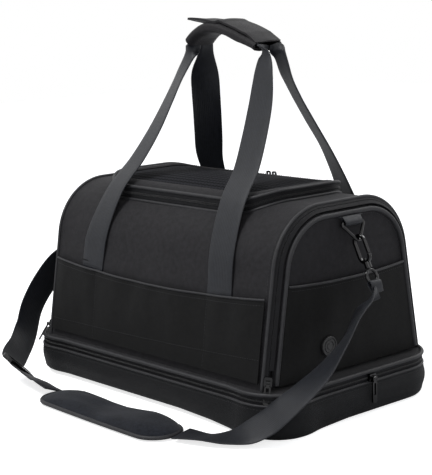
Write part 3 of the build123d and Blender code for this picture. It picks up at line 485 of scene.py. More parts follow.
def puff_at(x, share):
    """How far the padded cloth stands out of the true arch."""
    ends = 1 - (abs(x) / CABIN_X) ** 4
    side = min(share, 1 - share)
    bulge = sin(pi * min(side / 0.42, 1.0))
    crumple = ripple(x * 11, share * 4, 3.1) * 1.2 + ripple(x * 26, share * 16, 8.4) * 0.55
    fade = min(side / 0.04, 1.0) * min((CABIN_X - abs(x)) / (12 * MM), 1.0)
    return PUFF * bulge * ends + crumple * MM * max(fade, 0.0) * (1 if side < 0.36 else 0.25)


def hull(x, share, out=0.0):
    """Point of the cabin's cloth, lifted by out."""
    spot, way = arch(share)
    return Vector((x, *(spot + way * (out + puff_at(x, share)))))


def curve(spot, out=lambda share: Vector((0, 0, 1))):
    """Route for piping, stitches and teeth: share to (point, heading, outward)."""
    def at(share):
        heading = (spot(min(share + 0.002, 1.0)) - spot(max(share - 0.002, 0.0))).normalized()
        facing = out(share)
        return spot(share), heading, (facing - heading * facing.dot(heading)).normalized()
    return at


def run_length(route, steps=120):
    points = [route(k / steps)[0] for k in range(steps + 1)]
    return sum((b - a).length for a, b in zip(points, points[1:]))


def piping(name, route, radius, steps, body, closed=False, nodes=(), sides=10):
    """Round corded edge along a route."""
    def put(u, v):
        point, heading, out = route(v)
        aside = heading.cross(out)
        return point + radius * (cos(2 * pi * u) * aside + sin(2 * pi * u) * out)
    size = (2 * pi * radius, run_length(route))
    sewn(name, (sides, steps), put, size, "piping", body, nodes, capped=not closed, crease=60)


def beads(name, route, pitch, size, body, finish, start=0.0, lift=0.0):
    """Row of small rounded beads along a route: stitches or zip teeth. Size is half (along, aside, out)."""
    bm = bmesh.new()
    count = int(run_length(route) / pitch)
    for k in range(count):
        point, heading, out = route((k + 0.5 + start) / count)
        place = Matrix((heading, heading.cross(out), out)).transposed().to_4x4()
        place.translation = point + out * lift
        bmesh.ops.create_icosphere(bm, subdivisions=1, radius=1, matrix=place @ Matrix.Diagonal((*size, 1)))
    slot = "zip_tape" if finish == "coil" else "piping"
    finish_piece(name, bm, slot, body, finish=finish, crease=80)


def stitches(name, route, body, pitch=3.6 * MM, lift=0.0):
    """Row of lockstitches."""
    beads(name, route, pitch, (1.25 * MM, 0.32 * MM, 0.3 * MM), body, "thread", lift=lift)


def reaches(stations):
    """Distance along the stations to each of them."""
    reach = [0.0]
    for a, b in zip(stations, stations[1:]):
        reach.append(reach[-1] + (Vector(b[:3]) - Vector(a[:3])).length)
    return reach


def smooth(stations, reach, share):
    """Values on a smooth line through the stations."""
    way = share * reach[-1]
    k = max(i for i in range(len(stations) - 1) if reach[i] <= way + 1e-12)
    span = reach[k + 1] - reach[k]
    t = (way - reach[k]) / span

    def slope(i):
        low, high = max(i - 1, 0), min(i + 1, len(stations) - 1)
        return [(b - a) / (reach[high] - reach[low]) * span for a, b in zip(stations[low], stations[high])]
    return [
        (2 * t**3 - 3 * t**2 + 1) * p + (3 * t**2 - 2 * t**3) * q
        + (t**3 - 2 * t**2 + t) * m + (t**3 - t**2) * n
        for p, q, m, n in zip(stations[k], stations[k + 1], slope(k), slope(k + 1))
    ]


def station(point, across, width, thick):
    """One place on loose webbing, in millimetres."""
    return (*(c * MM for c in point), *Vector(across).normalized(), width * MM, thick * MM)


def webbing(name, stations, nodes, first=0, last=None, body=None, bridge=None, steps=5):
    """Flat webbing from one of its stations to another, with rounded selvedges."""
    last = len(stations) - 1 if last is None else last
    reach = reaches(stations)
    span = (reach[first] / reach[-1], reach[last] / reach[-1])
    under = ((-1, -0.3), (-0.985, -0.8), (-0.95, -1), (-0.6, -1), (-0.2, -1))
    under += tuple((-x, y) for x, y in reversed(under))
    corners = under + tuple((-x, -y) for x, y in under)

    def put(u, v):
        share = between(*span, v)
        values, ahead, behind = (
            smooth(stations, reach, at) for at in (share, min(share + 0.004, 1.0), max(share - 0.004, 0.0))
        )
        heading = (Vector(ahead[:3]) - Vector(behind[:3])).normalized()
        across = Vector(values[3:6])
        across = (across - heading * across.dot(heading)).normalized()
        side, level = corners[round(u * len(corners)) % len(corners)]
        return (Vector(values[:3]) + across * side * values[6] / 2
                + heading.cross(across) * (level * values[7] / 2))
    cells, size = (len(corners), steps * (last - first)), (2 * WEBBING, reach[last] - reach[first])
    sewn(name, cells, put, size, "webbing", body, nodes, capped=True, bridge=bridge, crease=55)


# --- tray base
def tray_plan(share):
    """Point and outward direction of the tray's outline, whose front corners push out."""
    spot, way = oblong(share, TRAY_X, TRAY_Y, TRAY_CORNER)
    for side, push in ((-1, 8 * MM), (1, 10 * MM)):
        away = Vector((spot.x - side * TRAY_X, spot.y + TRAY_Y)).length / (75 * MM)
        spot = spot + way * push * max(0.0, 1 - away**2) ** 2
    return spot, way


def tray_point(share, inset, height, out=0.0):
    """Point over the tray's plan; past 50 mm of inset the outline shrinks to the middle."""
    spot, way = tray_plan(share)
    near = min(inset, 50 * MM)
    spot = spot - way * (near - out)
    spot = spot * (1 - (inset - near) / (TRAY_Y - 50 * MM))
    return Vector((*spot, height))


tray_out = outward(TRAY_X, TRAY_Y, TRAY_CORNER)


def round_tray(section):
    """Layout of a section, as inset in millimetres and height in metres, carried round the tray."""
    def put(u, v):
        inset, height = along(section, v)
        return tray_point(u, inset * MM, height)
    return put


def make_tray():
    round_under = 7 * MM
    section = [(TRAY_Y, 0), (90 * MM, 0), (55 * MM, 0), (30 * MM, 0), (12 * MM, 0)]
    for step in range(6):
        angle = step / 5 * pi / 2
        section.append((round_under * (1 - sin(angle)), round_under * (1 - cos(angle))))
    for height in range(10, 37, 3):
        section.append((-2.4 * MM * sin(pi * (height - 8) / 29), height * MM))
    section += [
        (0.4 * MM, TRAY_TOP), (2 * MM, TRAY_TOP + 0.4 * MM), (3.6 * MM, TRAY_TOP), (WALL, TRAY_TOP - 2 * MM),
        (WALL, 24 * MM), (WALL, 12 * MM), (WALL + MM, FLOOR_TOP), (20 * MM, FLOOR_TOP), (TRAY_Y, FLOOR_TOP),
    ]

    def put(u, v):
        inset, height = along(section, v)
        spot, _ = oblong(u, TRAY_X, TRAY_Y, TRAY_CORNER)
        crumple = ripple(spot.x * 9, spot.y * 9, height * 26) * 1.1
        crumple += ripple(spot.x * 26, spot.y * 26, height * 60) * 0.35
        sides = max(0.0, sin(pi * clamp((height - 4 * MM) / (32 * MM)))) if inset < 3 * MM else 0
        front = clamp((-spot.y - 60 * MM) / (60 * MM)) * clamp((210 * MM - spot.x) / (90 * MM))
        low = max(0.0, 1 - height / TRAY_TOP) * max(0.0, 1 - inset / (60 * MM)) if v < 0.75 else 0.0
        sag = clamp((spot.x - 60 * MM) / (100 * MM)) * clamp((-spot.y - 20 * MM) / (90 * MM))
        out = (crumple * sides + 5.0 * sag * low) * MM
        return tray_point(u, inset * (1 - 0.75 * sag), height + 4.5 * MM * front * low, out)
    sewn("tray_skin", (260, 3 * (len(section) - 1)), put, (TRAY_ROUND, 0.5),
         "tray_cloth", "base", ("tray_floor", "tray_wall"))
    route = curve(lambda s: tray_point(s, -0.5 * MM, TRAY_TOP - 0.6 * MM), tray_out)
    piping("tray_top_piping", route, 1.5 * MM, 260, "base", closed=True)
    low = curve(lambda s: tray_point(s, -1.5 * MM, 32.2 * MM), tray_out)
    stitches("tray_seam", low, "base", lift=0.3 * MM)


def make_base_zip():
    zip_middle = (TRAY_TOP + RIM_LOW) / 2

    def band(name, low, high, body, nodes):
        section = [(0.7, low), (0.7, high), (2.6, high), (2.6, low), (0.7, low)]
        sewn(name, (260, 4), round_tray(section), (TRAY_ROUND, 0.014), "zip_tape", body, nodes)
    band("base_tape_lower", TRAY_TOP - MM, zip_middle - 0.3 * MM, "base", ("base_zip_lower",))
    band("base_tape_upper", zip_middle + 0.3 * MM, RIM_LOW + 0.4 * MM, "cabin", ("base_zip_upper",))
    for name, height, start, body in (("lower", -0.5, 0.0, "base"), ("upper", 0.5, 0.5, "cabin")):
        route = curve(lambda s: tray_point(s, 0.35 * MM, zip_middle + height * MM), tray_out)
        size = (0.62 * MM, 1.35 * MM, 0.75 * MM)
        beads(f"base_teeth_{name}", route, 1.7 * MM, size, body, "coil", start)


def make_gusset():
    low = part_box("base_gusset")[0][2]
    section = [
        (4.5, RIM_LOW), (4.9, 38 * MM), (4.6, 27 * MM), (5.1, low),
        (6.1, low), (5.9, 28 * MM), (6.0, RIM_LOW), (4.5, RIM_LOW),
    ]
    bridge = ("base", "cabin", (0, 0, low + 2 * MM), (0, 0, RIM_LOW - MM))
    sewn("folded_gusset", (180, 28), round_tray(section), (1.35, 0.05),
         "lining", nodes=("base_gusset",), bridge=bridge)


def make_mat():
    low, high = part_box("sleeping_mat")
    half_x, half_y = high[0], high[1]

    def put(u, v):
        radial = sin(pi * v)
        spot = oblong(u, half_x, half_y, 42 * MM)[0] * radial
        top = v > 0.5
        crown = (1 - radial**5) ** 0.6
        height = low[2] + 5 * MM + (crown * 8.6 * MM if top else -crown * 5 * MM)
        quilt = ripple(spot.x * 14, spot.y * 14, 2) * MM * crown if top else 0
        return Vector((*spot, height + quilt))
    mat = sewn("fleece_mat", (160, 64), put, (1.2, 0.5), "mat_fleece", "base", ("sleeping_mat",))


# --- cabin
def cut(piece, cutter):
    """Cut one mesh out of another for good."""
    change = piece.modifiers.new("cut", "BOOLEAN")
    change.operation = "DIFFERENCE"
    change.solver = "EXACT"
    change.object = cutter
    bpy.context.view_layer.update()
    shaped = bpy.data.meshes.new_from_object(piece.evaluated_get(bpy.context.evaluated_depsgraph_get()))
    piece.modifiers.clear()
    old = piece.data
    piece.data = shaped
    bpy.data.meshes.remove(old)
    bpy.data.objects.remove(cutter)


def make_cabin():
    def put(u, v):
        return hull((2 * u - 1) * CABIN_X, v)
    shell = sewn("cabin_skin", (150, 150), put, (2 * CABIN_X, ARCH_LENGTH),
                 "shell_cloth", None, ("front_panel", "rear_panel", "top_panel"), thick=WALL)
    half_x, half_y = FLAP_X - OPENING_LIP, FLAP_Y - OPENING_LIP
    bm = bmesh.new()
    ring = [oblong(k / 96, half_x, half_y, FLAP_CORNER - OPENING_LIP)[0] for k in range(96)]
    face = bm.faces.new([bm.verts.new((*spot, CABIN_TOP - 70 * MM)) for spot in ring])
    raised = bmesh.ops.extrude_face_region(bm, geom=[face])
    lifted = [v for v in raised["geom"] if isinstance(v, bmesh.types.BMVert)]
    bmesh.ops.translate(bm, vec=(0, 0, 140 * MM), verts=lifted)
    bmesh.ops.recalc_face_normals(bm, faces=bm.faces)
    cut(shell, add_object("opening_cutter", mesh_from("opening cutter", bm)))
    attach(shell, "cabin")


def make_rim():
    inner_x, inner_y = CABIN_X - 9.5 * MM, CABIN_FOOT_Y - WALL - 9.5 * MM
    section = [
        (0, RIM_LOW), (0, RIM_TOP - MM), (0.04, RIM_TOP), (0.35, RIM_TOP + 0.3 * MM),
        (1, RIM_TOP), (1, RIM_LOW), (0.5, RIM_LOW), (0, RIM_LOW),
    ]

    def put(u, v):
        inwards, height = along(section, v)
        outer, _ = tray_plan(u)
        inner, _ = oblong(u, inner_x, inner_y, 30 * MM)
        return Vector((*outer.lerp(inner, inwards), height))
    sewn("cabin_ledge", (260, 14), put, (TRAY_ROUND, 0.07), "shell_cloth", "cabin", ("cabin_rim",))
    route = curve(lambda s: tray_point(s, 0, RIM_TOP - 0.5 * MM), tray_out)
    piping("rim_piping", route, RIM_PIPING, 260, "cabin", closed=True)
    seam = curve(lambda s: tray_point(s, 3.2 * MM, RIM_TOP + 0.5 * MM))
    stitches("rim_seam", seam, "cabin")


def end_arch(side, inset, x, foot=RIM_TOP, spread=0.0):
    """Route over an end of the cabin, facing along X for spread 1 and square to the cloth for 0."""
    return curve(lambda s: Vector((side * x, *arch(s, inset, foot)[0])),
                 lambda s: Vector((side * spread, *(arch(s, inset, foot)[1] * (1 - spread)))))


def make_end(side, word):
    door = f"{word}_door"
    tape = 1.2 * MM

    def band(name, near, far, body, nodes, foot=RIM_TOP):
        def put(u, v):
            share = u if side > 0 else 1 - u
            part = between(near, far, v)
            spot, _ = arch(share, part * EDGE_BEVEL + 0.5 * MM, foot)
            return Vector((side * (CABIN_X + part * EDGE_BEVEL - 0.5 * MM), *spot))
        sewn(name, (170, 2), put, (ARCH_LENGTH, (far - near) * 0.0099), "zip_tape", body, nodes, thick=tape)
    band(f"{word}_door_tape_outer", 0.02, 0.44, "cabin", ("door_zips_outer",))
    band(f"{word}_door_tape_inner", 0.54, 1.0, door, (f"{word}_zip_inner",), DOOR_FOOT + 20 * MM)
    for name, part, start, body, foot in (
        ("outer", 0.42, 0.0, "cabin", RIM_TOP + MM), ("inner", 0.56, 0.5, door, DOOR_FOOT + 20 * MM)
    ):
        depth = part * EDGE_BEVEL
        route = end_arch(side, depth + 0.2 * MM, CABIN_X + depth - 0.2 * MM, foot, 0.5)
        size = (0.6 * MM, 1.1 * MM, 0.7 * MM)
        beads(f"{word}_door_teeth_{name}", route, 1.8 * MM, size, body, "coil", start)
    route = end_arch(side, -0.6 * MM, CABIN_X - 0.6 * MM)
    piping(f"{word}_end_piping", route, 2.0 * MM, 170, "cabin")
    seam = curve(lambda s: hull(side * (CABIN_X - 7 * MM), between(0.01, 0.99, s), 0.15 * MM),
                 lambda s: Vector((0, *arch(s)[1])))
    stitches(f"{word}_end_seam", seam, "cabin")
    make_door(side, word, door)


def door_outline(share, inset):
    """(y, z) round a door: over its arch for the first 0.78 of the way, then back along its foot."""
    foot = DOOR_FOOT + max(inset - DOOR_INSET, 0)
    turn = 0.78
    if share <= turn:
        return arch(share / turn, inset, foot)[0]
    start, end = arch(1, inset, foot)[0], arch(0, inset, foot)[0]
    return start.lerp(end, (share - turn) / (1 - turn))


def make_door(side, word, body):
    middle = Vector((0, 140 * MM))

    def put(u, v):
        share = u if side > 0 else 1 - u
        radial = min(1.0, 2 * v if v <= 0.5 else 2 * (1 - v))
        radial = sin(radial * pi / 2) ** 0.9
        spot = middle.lerp(door_outline(share % 1.0, DOOR_INSET), radial)
        crown = (1 - radial**6) ** 0.5
        crumple = ripple(spot.x * 16, spot.y * 13, side * 5.0) * MM * crown
        if v <= 0.5:
            return Vector((side * (DOOR_X - 2.0 * MM + 2.6 * MM * crown + crumple), *spot))
        return Vector((side * (DOOR_X - DOOR_THICK + 0.8 * MM * (1 - crown)), *spot))
    # The door skin takes the darker copy of the shell cloth: painted shade.
    panel = sewn(f"{word}_door_skin", (200, 72), put, (0.7, 0.22),
                 "shell_cloth", body, (f"{word}_door_panel",), finish="shell_shaded")
    route = end_arch(side, DOOR_INSET + DOOR_PIPING, DOOR_X + 0.6 * MM, DOOR_FOOT + DOOR_PIPING)
    piping(f"{word}_door_cord", route, DOOR_PIPING, 170, body, nodes=(f"{word}_door_piping",), sides=14)
    inset = DOOR_INSET + 2 * DOOR_PIPING + 2.2 * MM
    seam = end_arch(side, inset, DOOR_X + 0.1 * MM, DOOR_FOOT + 12 * MM, 1.0)
    stitches(f"{word}_door_seam", seam, body)

    edge = DOOR_INSET + 2 * DOOR_PIPING + 0.6 * MM

    def pocket_spot(u, v):
        across = (2 * u - 1) * side
        top = DOOR_POCKET_TOP - 3.5 * MM * (1 - across**2)
        height = between(DOOR_FOOT + MM, top, v)
        y = across * side_y(height, edge)
        swell = (1 - across**4) * (0.25 + 0.75 * v) * (1 - (1 - v) ** 6)
        crease = 0.8 * ripple(across * 4.5, v * 1.6, 2.0 + side) * (1 - across**6)
        return Vector((side * (DOOR_X + 1.9 * MM + (3.2 * swell + crease) * MM), y, height))
    patch = sewn(f"{word}_door_patch", (90, 44), pocket_spot, (0.2, 0.108),
                 "pocket_cloth", body, (f"{word}_door_pocket",), thick=1.2 * MM)
    facing = Vector((side, 0, 0))
    route = curve(lambda s: pocket_spot(s, 1.0), lambda s: facing)
    piping(f"{word}_door_patch_hem", route, 1.5 * MM, 90, body)
    lift = Vector((side * 0.2 * MM, 0, 0))
    hem = curve(lambda s: pocket_spot(between(0.02, 0.98, s), 0.955) + lift, lambda s: facing)
    stitches(f"{word}_door_patch_seam", hem, body)


# --- front pocket and sewn webbing
DIVIDERS = (-105 * MM, 100 * MM)


def pocket_spot(u, v, out=0.0):
    """Point of the front pocket's cloth: three slack compartments between seams."""
    x = between(-POCKET_X, POCKET_X, u)
    stops = (-POCKET_X, *DIVIDERS, POCKET_X)
    k = max(i for i in range(3) if stops[i] <= x)
    part = (x - stops[k]) / (stops[k + 1] - stops[k])
    top = POCKET_TOP - POCKET_SAG * (1 - (x / POCKET_X) ** 2)
    height = between(POCKET_FOOT, top, v)
    slack = (1 - abs(2 * part - 1) ** 3) * (1 - (1 - min(v * 1.4, 1)) ** 2)
    folds = ripple(x * 24, v * 1.4, 6.6) * 2.6 + ripple(x * 60, v * 4.0, 1.6) * 0.7
    swell = (3.4 * slack * (0.5 + 0.5 * v) + folds * slack) * MM
    return hull(x, share_at(height), 3.5 * MM + max(swell, 0.0) + out)


def front_out(_):
    return Vector((0, -cos(LEAN), sin(LEAN)))


def make_front_pocket():
    sheet = sewn("front_pocket_cloth", (190, 56), pocket_spot, (2 * POCKET_X, 0.09),
                 "pocket_cloth", "cabin", ("front_pocket",), thick=1.6 * MM)
    hem = curve(lambda s: pocket_spot(s, 1.0, 0.1 * MM), front_out)
    piping("front_pocket_hem", hem, 1.25 * MM, 190, "cabin")
    stitches("front_pocket_hem_seam", curve(lambda s: pocket_spot(s, 0.93, 0.1 * MM), front_out), "cabin")
    for name, x in zip(("left", "right"), DIVIDERS):
        u = (x / POCKET_X + 1) / 2
        route = curve(lambda s: pocket_spot(u, between(0.03, 0.97, s), 0.15 * MM), front_out)
        stitches(f"front_pocket_{name}_divider", route, "cabin")
    low = curve(lambda s: pocket_spot(s, between(0.16, 0.28, s), 0.15 * MM), front_out)
    stitches("front_pocket_low_seam", low, "cabin")


def make_anchors():
    """Carry webbing where it lies sewn on the sides, with a boxed cross of stitches at the rear."""
    for rear in (False, True):
        for side, word in ((-1, "left"), (1, "right")):
            low = POCKET_FOOT if rear else 100 * MM
            face = -1 if rear else 1

            def put(u, v):
                x = side * LEG_X + (u - 0.5) * WEBBING * face
                return hull(x, share_at(between(low, LEG_FOOT, v), rear), WEBBING_THICK)
            bm = skin((8, 30), put, (WEBBING, LEG_FOOT - low), thick=WEBBING_THICK)
            name = f"{'rear' if rear else 'front'}_{word}_anchor"
            finish_piece(name, bm, "webbing", "cabin", ("handle_anchors",))
            if rear:
                out = Vector((0, cos(LEAN), sin(LEAN)))
                spots = ((0.12, 0.1), (0.88, 0.1), (0.88, 0.5), (0.12, 0.5))
                for k, (first, last) in enumerate(((0, 1), (1, 2), (2, 3), (3, 0), (0, 2), (1, 3))):
                    a, b = spots[first], spots[last]
                    route = curve(lambda s: put(*between(a, b, s)) + out * 0.15 * MM, lambda s: out)
                    stitches(f"{name}_seam_{k}", route, "cabin", pitch=3.2 * MM)


# --- top flap
def roof(y, out):
    """Height of the cabin's roof at y, for the surface lifted by out."""
    reach = max(abs(y) - SHOULDER_Y, 0.0)
    return CABIN_TOP - SHOULDER + sqrt((SHOULDER + out) ** 2 - reach**2)


def flap_point(share, inset, out):
    spot, way = oblong(share, FLAP_X, FLAP_Y, FLAP_CORNER)
    spot = spot - way * inset
    return Vector((*spot, roof(spot.y, out)))


flap_out = outward(FLAP_X, FLAP_Y, FLAP_CORNER)


def make_flap():
    top = FLAP_LIFT + FLAP_EDGE
    rings = (
        ("roof_zip_curb", "zip_tape", "cabin", "top_zip_lower", (
            (0.4 * MM, -MM), (0.4 * MM, CURB - 0.4 * MM), (0.9 * MM, CURB), (CURB_WIDTH - 0.5 * MM, CURB),
            (CURB_WIDTH, CURB - MM), (CURB_WIDTH, -MM), (0.4 * MM, -MM),
        )),
        ("flap_side", "zip_tape", "top_flap", "flap_edge", (
            (0.8 * MM, FLAP_LIFT), (0.8 * MM, top - 1.5 * MM), (1.4 * MM, top - 0.3 * MM),
            (CURB_WIDTH, top - 0.2 * MM), (CURB_WIDTH, FLAP_LIFT), (0.8 * MM, FLAP_LIFT),
        )),
        ("flap_border", "shell_cloth", "top_flap", "flap_band", (
            (CURB_WIDTH - MM, top - 0.6 * MM), (7 * MM, top + 0.5 * MM), (11 * MM, top + 0.7 * MM),
            (15 * MM, top + 0.2 * MM), (FLAP_BAND, top - MM), (FLAP_BAND, top - 2 * MM),
            (CURB_WIDTH, top - 2 * MM), (CURB_WIDTH - MM, top - 0.6 * MM),
        )),
    )
    for name, slot, body, stands_for, section in rings:
        cells = (220, 3 * (len(section) - 1))
        put = lambda u, v: flap_point(u, *along(section, v))
        sewn(name, cells, put, (0.83, 0.04), slot, body, (stands_for,))
    for name, inset, out, radius, body in (
        ("roof_piping", -MM, MM, 1.7 * MM, "cabin"),
        ("flap_piping", 0.7 * MM, top - 0.3 * MM, 1.9 * MM, "top_flap"),
    ):
        piping(name, curve(lambda s: flap_point(s, inset, out), flap_out), radius, 220, body, closed=True)
    for name, out, start, body in (
        ("lower", CURB - 0.5 * MM, 0.0, "cabin"), ("upper", FLAP_LIFT + 0.6 * MM, 0.5, "top_flap")
    ):
        route = curve(lambda s: flap_point(s, 0.3 * MM, out), flap_out)
        beads(f"flap_teeth_{name}", route, 1.8 * MM, (0.62 * MM, 1.2 * MM, 0.75 * MM), body, "coil", start)
    seam = curve(lambda s: flap_point(s, 14.5 * MM, top + 0.5 * MM))
    stitches("flap_border_seam", seam, "top_flap")

    half_x, half_y = FLAP_X - FLAP_BAND + 1.5 * MM, FLAP_Y - FLAP_BAND + 1.5 * MM

    def dome(u, v):
        radial = 1 - v
        spot, _ = oblong(u, half_x, half_y, FLAP_CORNER - FLAP_BAND)
        rim = roof(spot.y, top - 2.2 * MM)
        spot = spot * radial
        lift = (1 - radial**2.3) ** 0.9
        wave = ripple(spot.x * 13, spot.y * 16, 4.2) * 1.2 * MM * (1 - radial**4)
        return Vector((*spot, between(rim, MESH_TOP - 5.5 * MM, lift) + wave))
    bm = skin((220, 60), dome, (0.78, 0.1))
    uv = bm.loops.layers.uv.active
    for face in bm.faces:
        for loop in face.loops:
            loop[uv].uv = (loop.vert.co.x, loop.vert.co.y * 0.62)
    bmesh.ops.recalc_face_normals(bm, faces=bm.faces)
    bmesh.ops.solidify(bm, geom=bm.faces[:], thickness=1.2 * MM)
    finish_piece("mesh_dome", bm, "mesh", "top_flap", ("flap_mesh",))


# --- carry handle
# sizes of the handle and of the strap are in millimetres, and the badge's are in metres
GRIP_Y, GRIP_TOP, GRIP_HALF, GRIP_SAG = 24, 431, 60, 18
GATHER, GATHER_THICK, LANE_GAP = 18, 3.2, 2
MOUTH_ASIDE, MOUTH_SPREAD, MOUTH_DROP = 6, 3, 13     # where the webbing starts to gather under the grip
MOUTH_WIDE, MOUTH_THICK = 21, 2.4
LEG_TWIST = {
    ("front", -1): (
        (0, 0), (0.14, 0), (0.36, -12), (0.55, -18), (0.75, -25), (0.87, -24), (0.95, -5), (1, 90),
    ),
    ("front", 1): ((0, 0), (0.14, 0), (0.70, 0), (0.84, -5), (0.95, -8), (1, -90)),
    ("rear", -1): ((0, 0), (0.14, 0), (0.36, 10), (0.48, 21), (0.74, 22), (0.86, 45), (0.95, 70), (1, 90)),
    ("rear", 1): ((0, 0), (0.14, 0), (0.36, -20), (0.52, -28), (0.79, -28), (0.87, -22), (0.955, 0), (1, 90)),
}
LEGS = {
    "front": (
        (114.5, -110, 182), (110, -98.5, 213), (105.5, -84, 240), (102.5, -73, 254),
        (98.5, -54, 274), (90.5, -32, 308), (82.5, -12.5, 345), (74.5, 1, 376),
    ),
    "rear": (
        (115.5, 109.5, 182), (114, 102, 215), (113, 90, 242), (110.5, 80.5, 265),
        (103.5, 71, 292), (93, 60, 322), (83, 50, 350), (74.5, 42, 376),
    ),
}
LEG_SPARE = (0.6, 0.3, 0.15, 0, 0, 0, 0, 0)     # share of the padding's swell that the webbing rides over
LEG_WIDTH = (40, 40, 40, 40, 40, 40, 39, 34)    # webbing gathers towards the grip
LEG_DRIFT = {                                   # how far each strap hangs to the right of its mirror image
    ("front", -1): (2, 1.5, 1, 0.5, 0.3, 0.5, 0, 0),
    ("front", 1): (2, 2, 2, 1.5, 0.5, 0, -0.5, -1),
    ("rear", -1): (-3, -5, -5, -4, -1, 0, 0, 0),
    ("rear", 1): (0, 0, 1.5, 1, 0, -2, -3, -3),
}
GRIP_RADIUS = (GRIP_HALF**2 + GRIP_SAG**2) / (2 * GRIP_SAG)
GRIP_ANGLE = asin(GRIP_HALF / GRIP_RADIUS)


def turned(angle):
    return (cos(radians(angle)), sin(radians(angle)), 0)


def twist_at(table, share):
    for (t0, a0), (t1, a1) in zip(table, table[1:]):
        if share <= t1:
            return a0 + (a1 - a0) * (share - t0) / (t1 - t0)
    return table[-1][1]


def make_legs():
    end_z = GRIP_TOP - GRIP_RADIUS * (1 - cos(GRIP_ANGLE))
    for row, face in (("front", -1), ("rear", 1)):
        for side, word in ((-1, "left"), (1, "right")):
            table = LEG_TWIST[(row, side)]
            lane = GRIP_Y + face * (GATHER + LANE_GAP) / 2
            top = (side * (GRIP_HALF + 0.3), lane, end_z)
            mouth = (top[0] + side * MOUTH_ASIDE, lane + face * MOUTH_SPREAD, top[2] - MOUTH_DROP)
            foot_z = LEG_FOOT / MM
            stand = puff_at(side * LEG_X, share_at(LEG_FOOT)) / MM
            foot_y = face * (side_y(LEG_FOOT) / MM + 0.8 + stand)
            stations = [station((side * 117, foot_y, foot_z), (1, 0, 0), 40, 1.6)]
            for (x, y, z), spare, wide, drift in zip(LEGS[row], LEG_SPARE, LEG_WIDTH, LEG_DRIFT[(row, side)]):
                share = (z - foot_z) / (top[2] - foot_z)
                spot = (side * x + drift, y + face * stand * spare, z)
                stations.append(station(spot, turned(twist_at(table, share)), wide, 1.6))
            share = (mouth[2] - foot_z) / (top[2] - foot_z)
            stations.append(station(mouth, turned(twist_at(table, share)), MOUTH_WIDE, MOUTH_THICK))
            stations.append(station(top, turned(table[-1][1]), GATHER, GATHER_THICK))
            bridge = ("cabin", "carry_handle", (0, 0, 0.25), (0, 0, 0.405))
            webbing(f"{row}_{word}_leg", stations, (f"{row}_carry_straps",), bridge=bridge, steps=9)


def grip_point(angle, aside, out):
    """Point of the grip, from how far across it and off its arc; its right half hangs straighter."""
    t = min(max(angle / GRIP_ANGLE, -1), 1)
    hang = 3.6 * sin(pi * t) + 2.0 * t if t > 0 else -6.5 * sin(-0.8 * pi * t)
    radius = GRIP_RADIUS + out - hang
    return Vector((radius * sin(angle), GRIP_Y + aside, GRIP_TOP - GRIP_RADIUS + radius * cos(angle))) * MM


def ridge_at(t):
    """Height of the crease where the grip's wrap bends, at t from -1 to 1 along it."""
    return 1.6 * max(0.0, 1 - abs(t + 0.05) / 0.12)


def make_grip():
    half_wide, half_deep = 23.0, 6.5

    def wrap(u, v):
        t = 2 * v - 1
        inner = max(abs(t) - 0.94, 0) / 0.06
        angle = GRIP_ANGLE * (1.0 if t > 0 else -1.0) * (min(abs(t) / 0.94, 1.0) - 0.05 * inner)
        turn = 2 * pi * u
        swell = 1 + 0.16 * (1 - min(abs(t) / 0.94, 1) ** 2) - 0.05 * cos(3 * pi * t)
        shrink = 1 - 0.22 * inner
        c, s = cos(turn), sin(turn)
        wide = half_wide * shrink * abs(c) ** 0.55 * (1 if c > 0 else -1)
        deep = half_deep * swell * (1 - 0.45 * inner) * abs(s) ** 0.75 * (1 if s > 0 else -1)
        fold = ripple(t * 3.2, c * 1.5, s * 1.5) * 1.1 + ripple(t * 9, c * 3, s * 3) * 0.35
        deep += (fold * abs(s) + ridge_at(t) * max(s, 0)) * (1 - inner)
        return grip_point(angle, wide, deep)
    grip = sewn("grip_cover", (64, 120), wrap, (0.12, 0.16),
                "grip_cloth", "carry_handle", ("grip_wrap", "grip_webbing"))

    def over(u, v):
        t = 2 * v - 1
        aside = (u - 0.5) * 2 * 20.5
        low = half_deep * (1.16 - 0.16 * t**2) + 2.5 + ridge_at(t)
        low += ripple(t * 3.2, aside * 0.06, 1.0) * 0.9 - 4.8 * (u - 0.5) ** 2
        low -= 3.0 * max(0.0, (t - 0.7) / 0.3) + 1.5 + 4.0 * sin(0.8 * pi * max(-t, 0))
        free = max(0.0, (-t - 0.15) / 0.85) ** 1.5
        point = grip_point(GRIP_ANGLE * 0.97 * t, aside * (1 - 0.1 * free), low)
        return point + Vector((0, 0, free * (22 - 9 * u) * MM))
    bm = skin((16, 90), over, (0.041, 0.13), thick=2.6 * MM)
    for face in bm.faces:
        face.normal_flip()
    bmesh.ops.recalc_face_normals(bm, faces=bm.faces)
    finish_piece("grip_over_flap", bm, "grip_cloth", "carry_handle", ("grip_flap",))
    for name, u in (("front", 0.07), ("rear", 0.93)):
        route = curve(lambda s: over(u, between(0.03, 0.97, s)) + Vector((0, 0, 0.2 * MM)))
        stitches(f"grip_{name}_seam", route, "carry_handle")


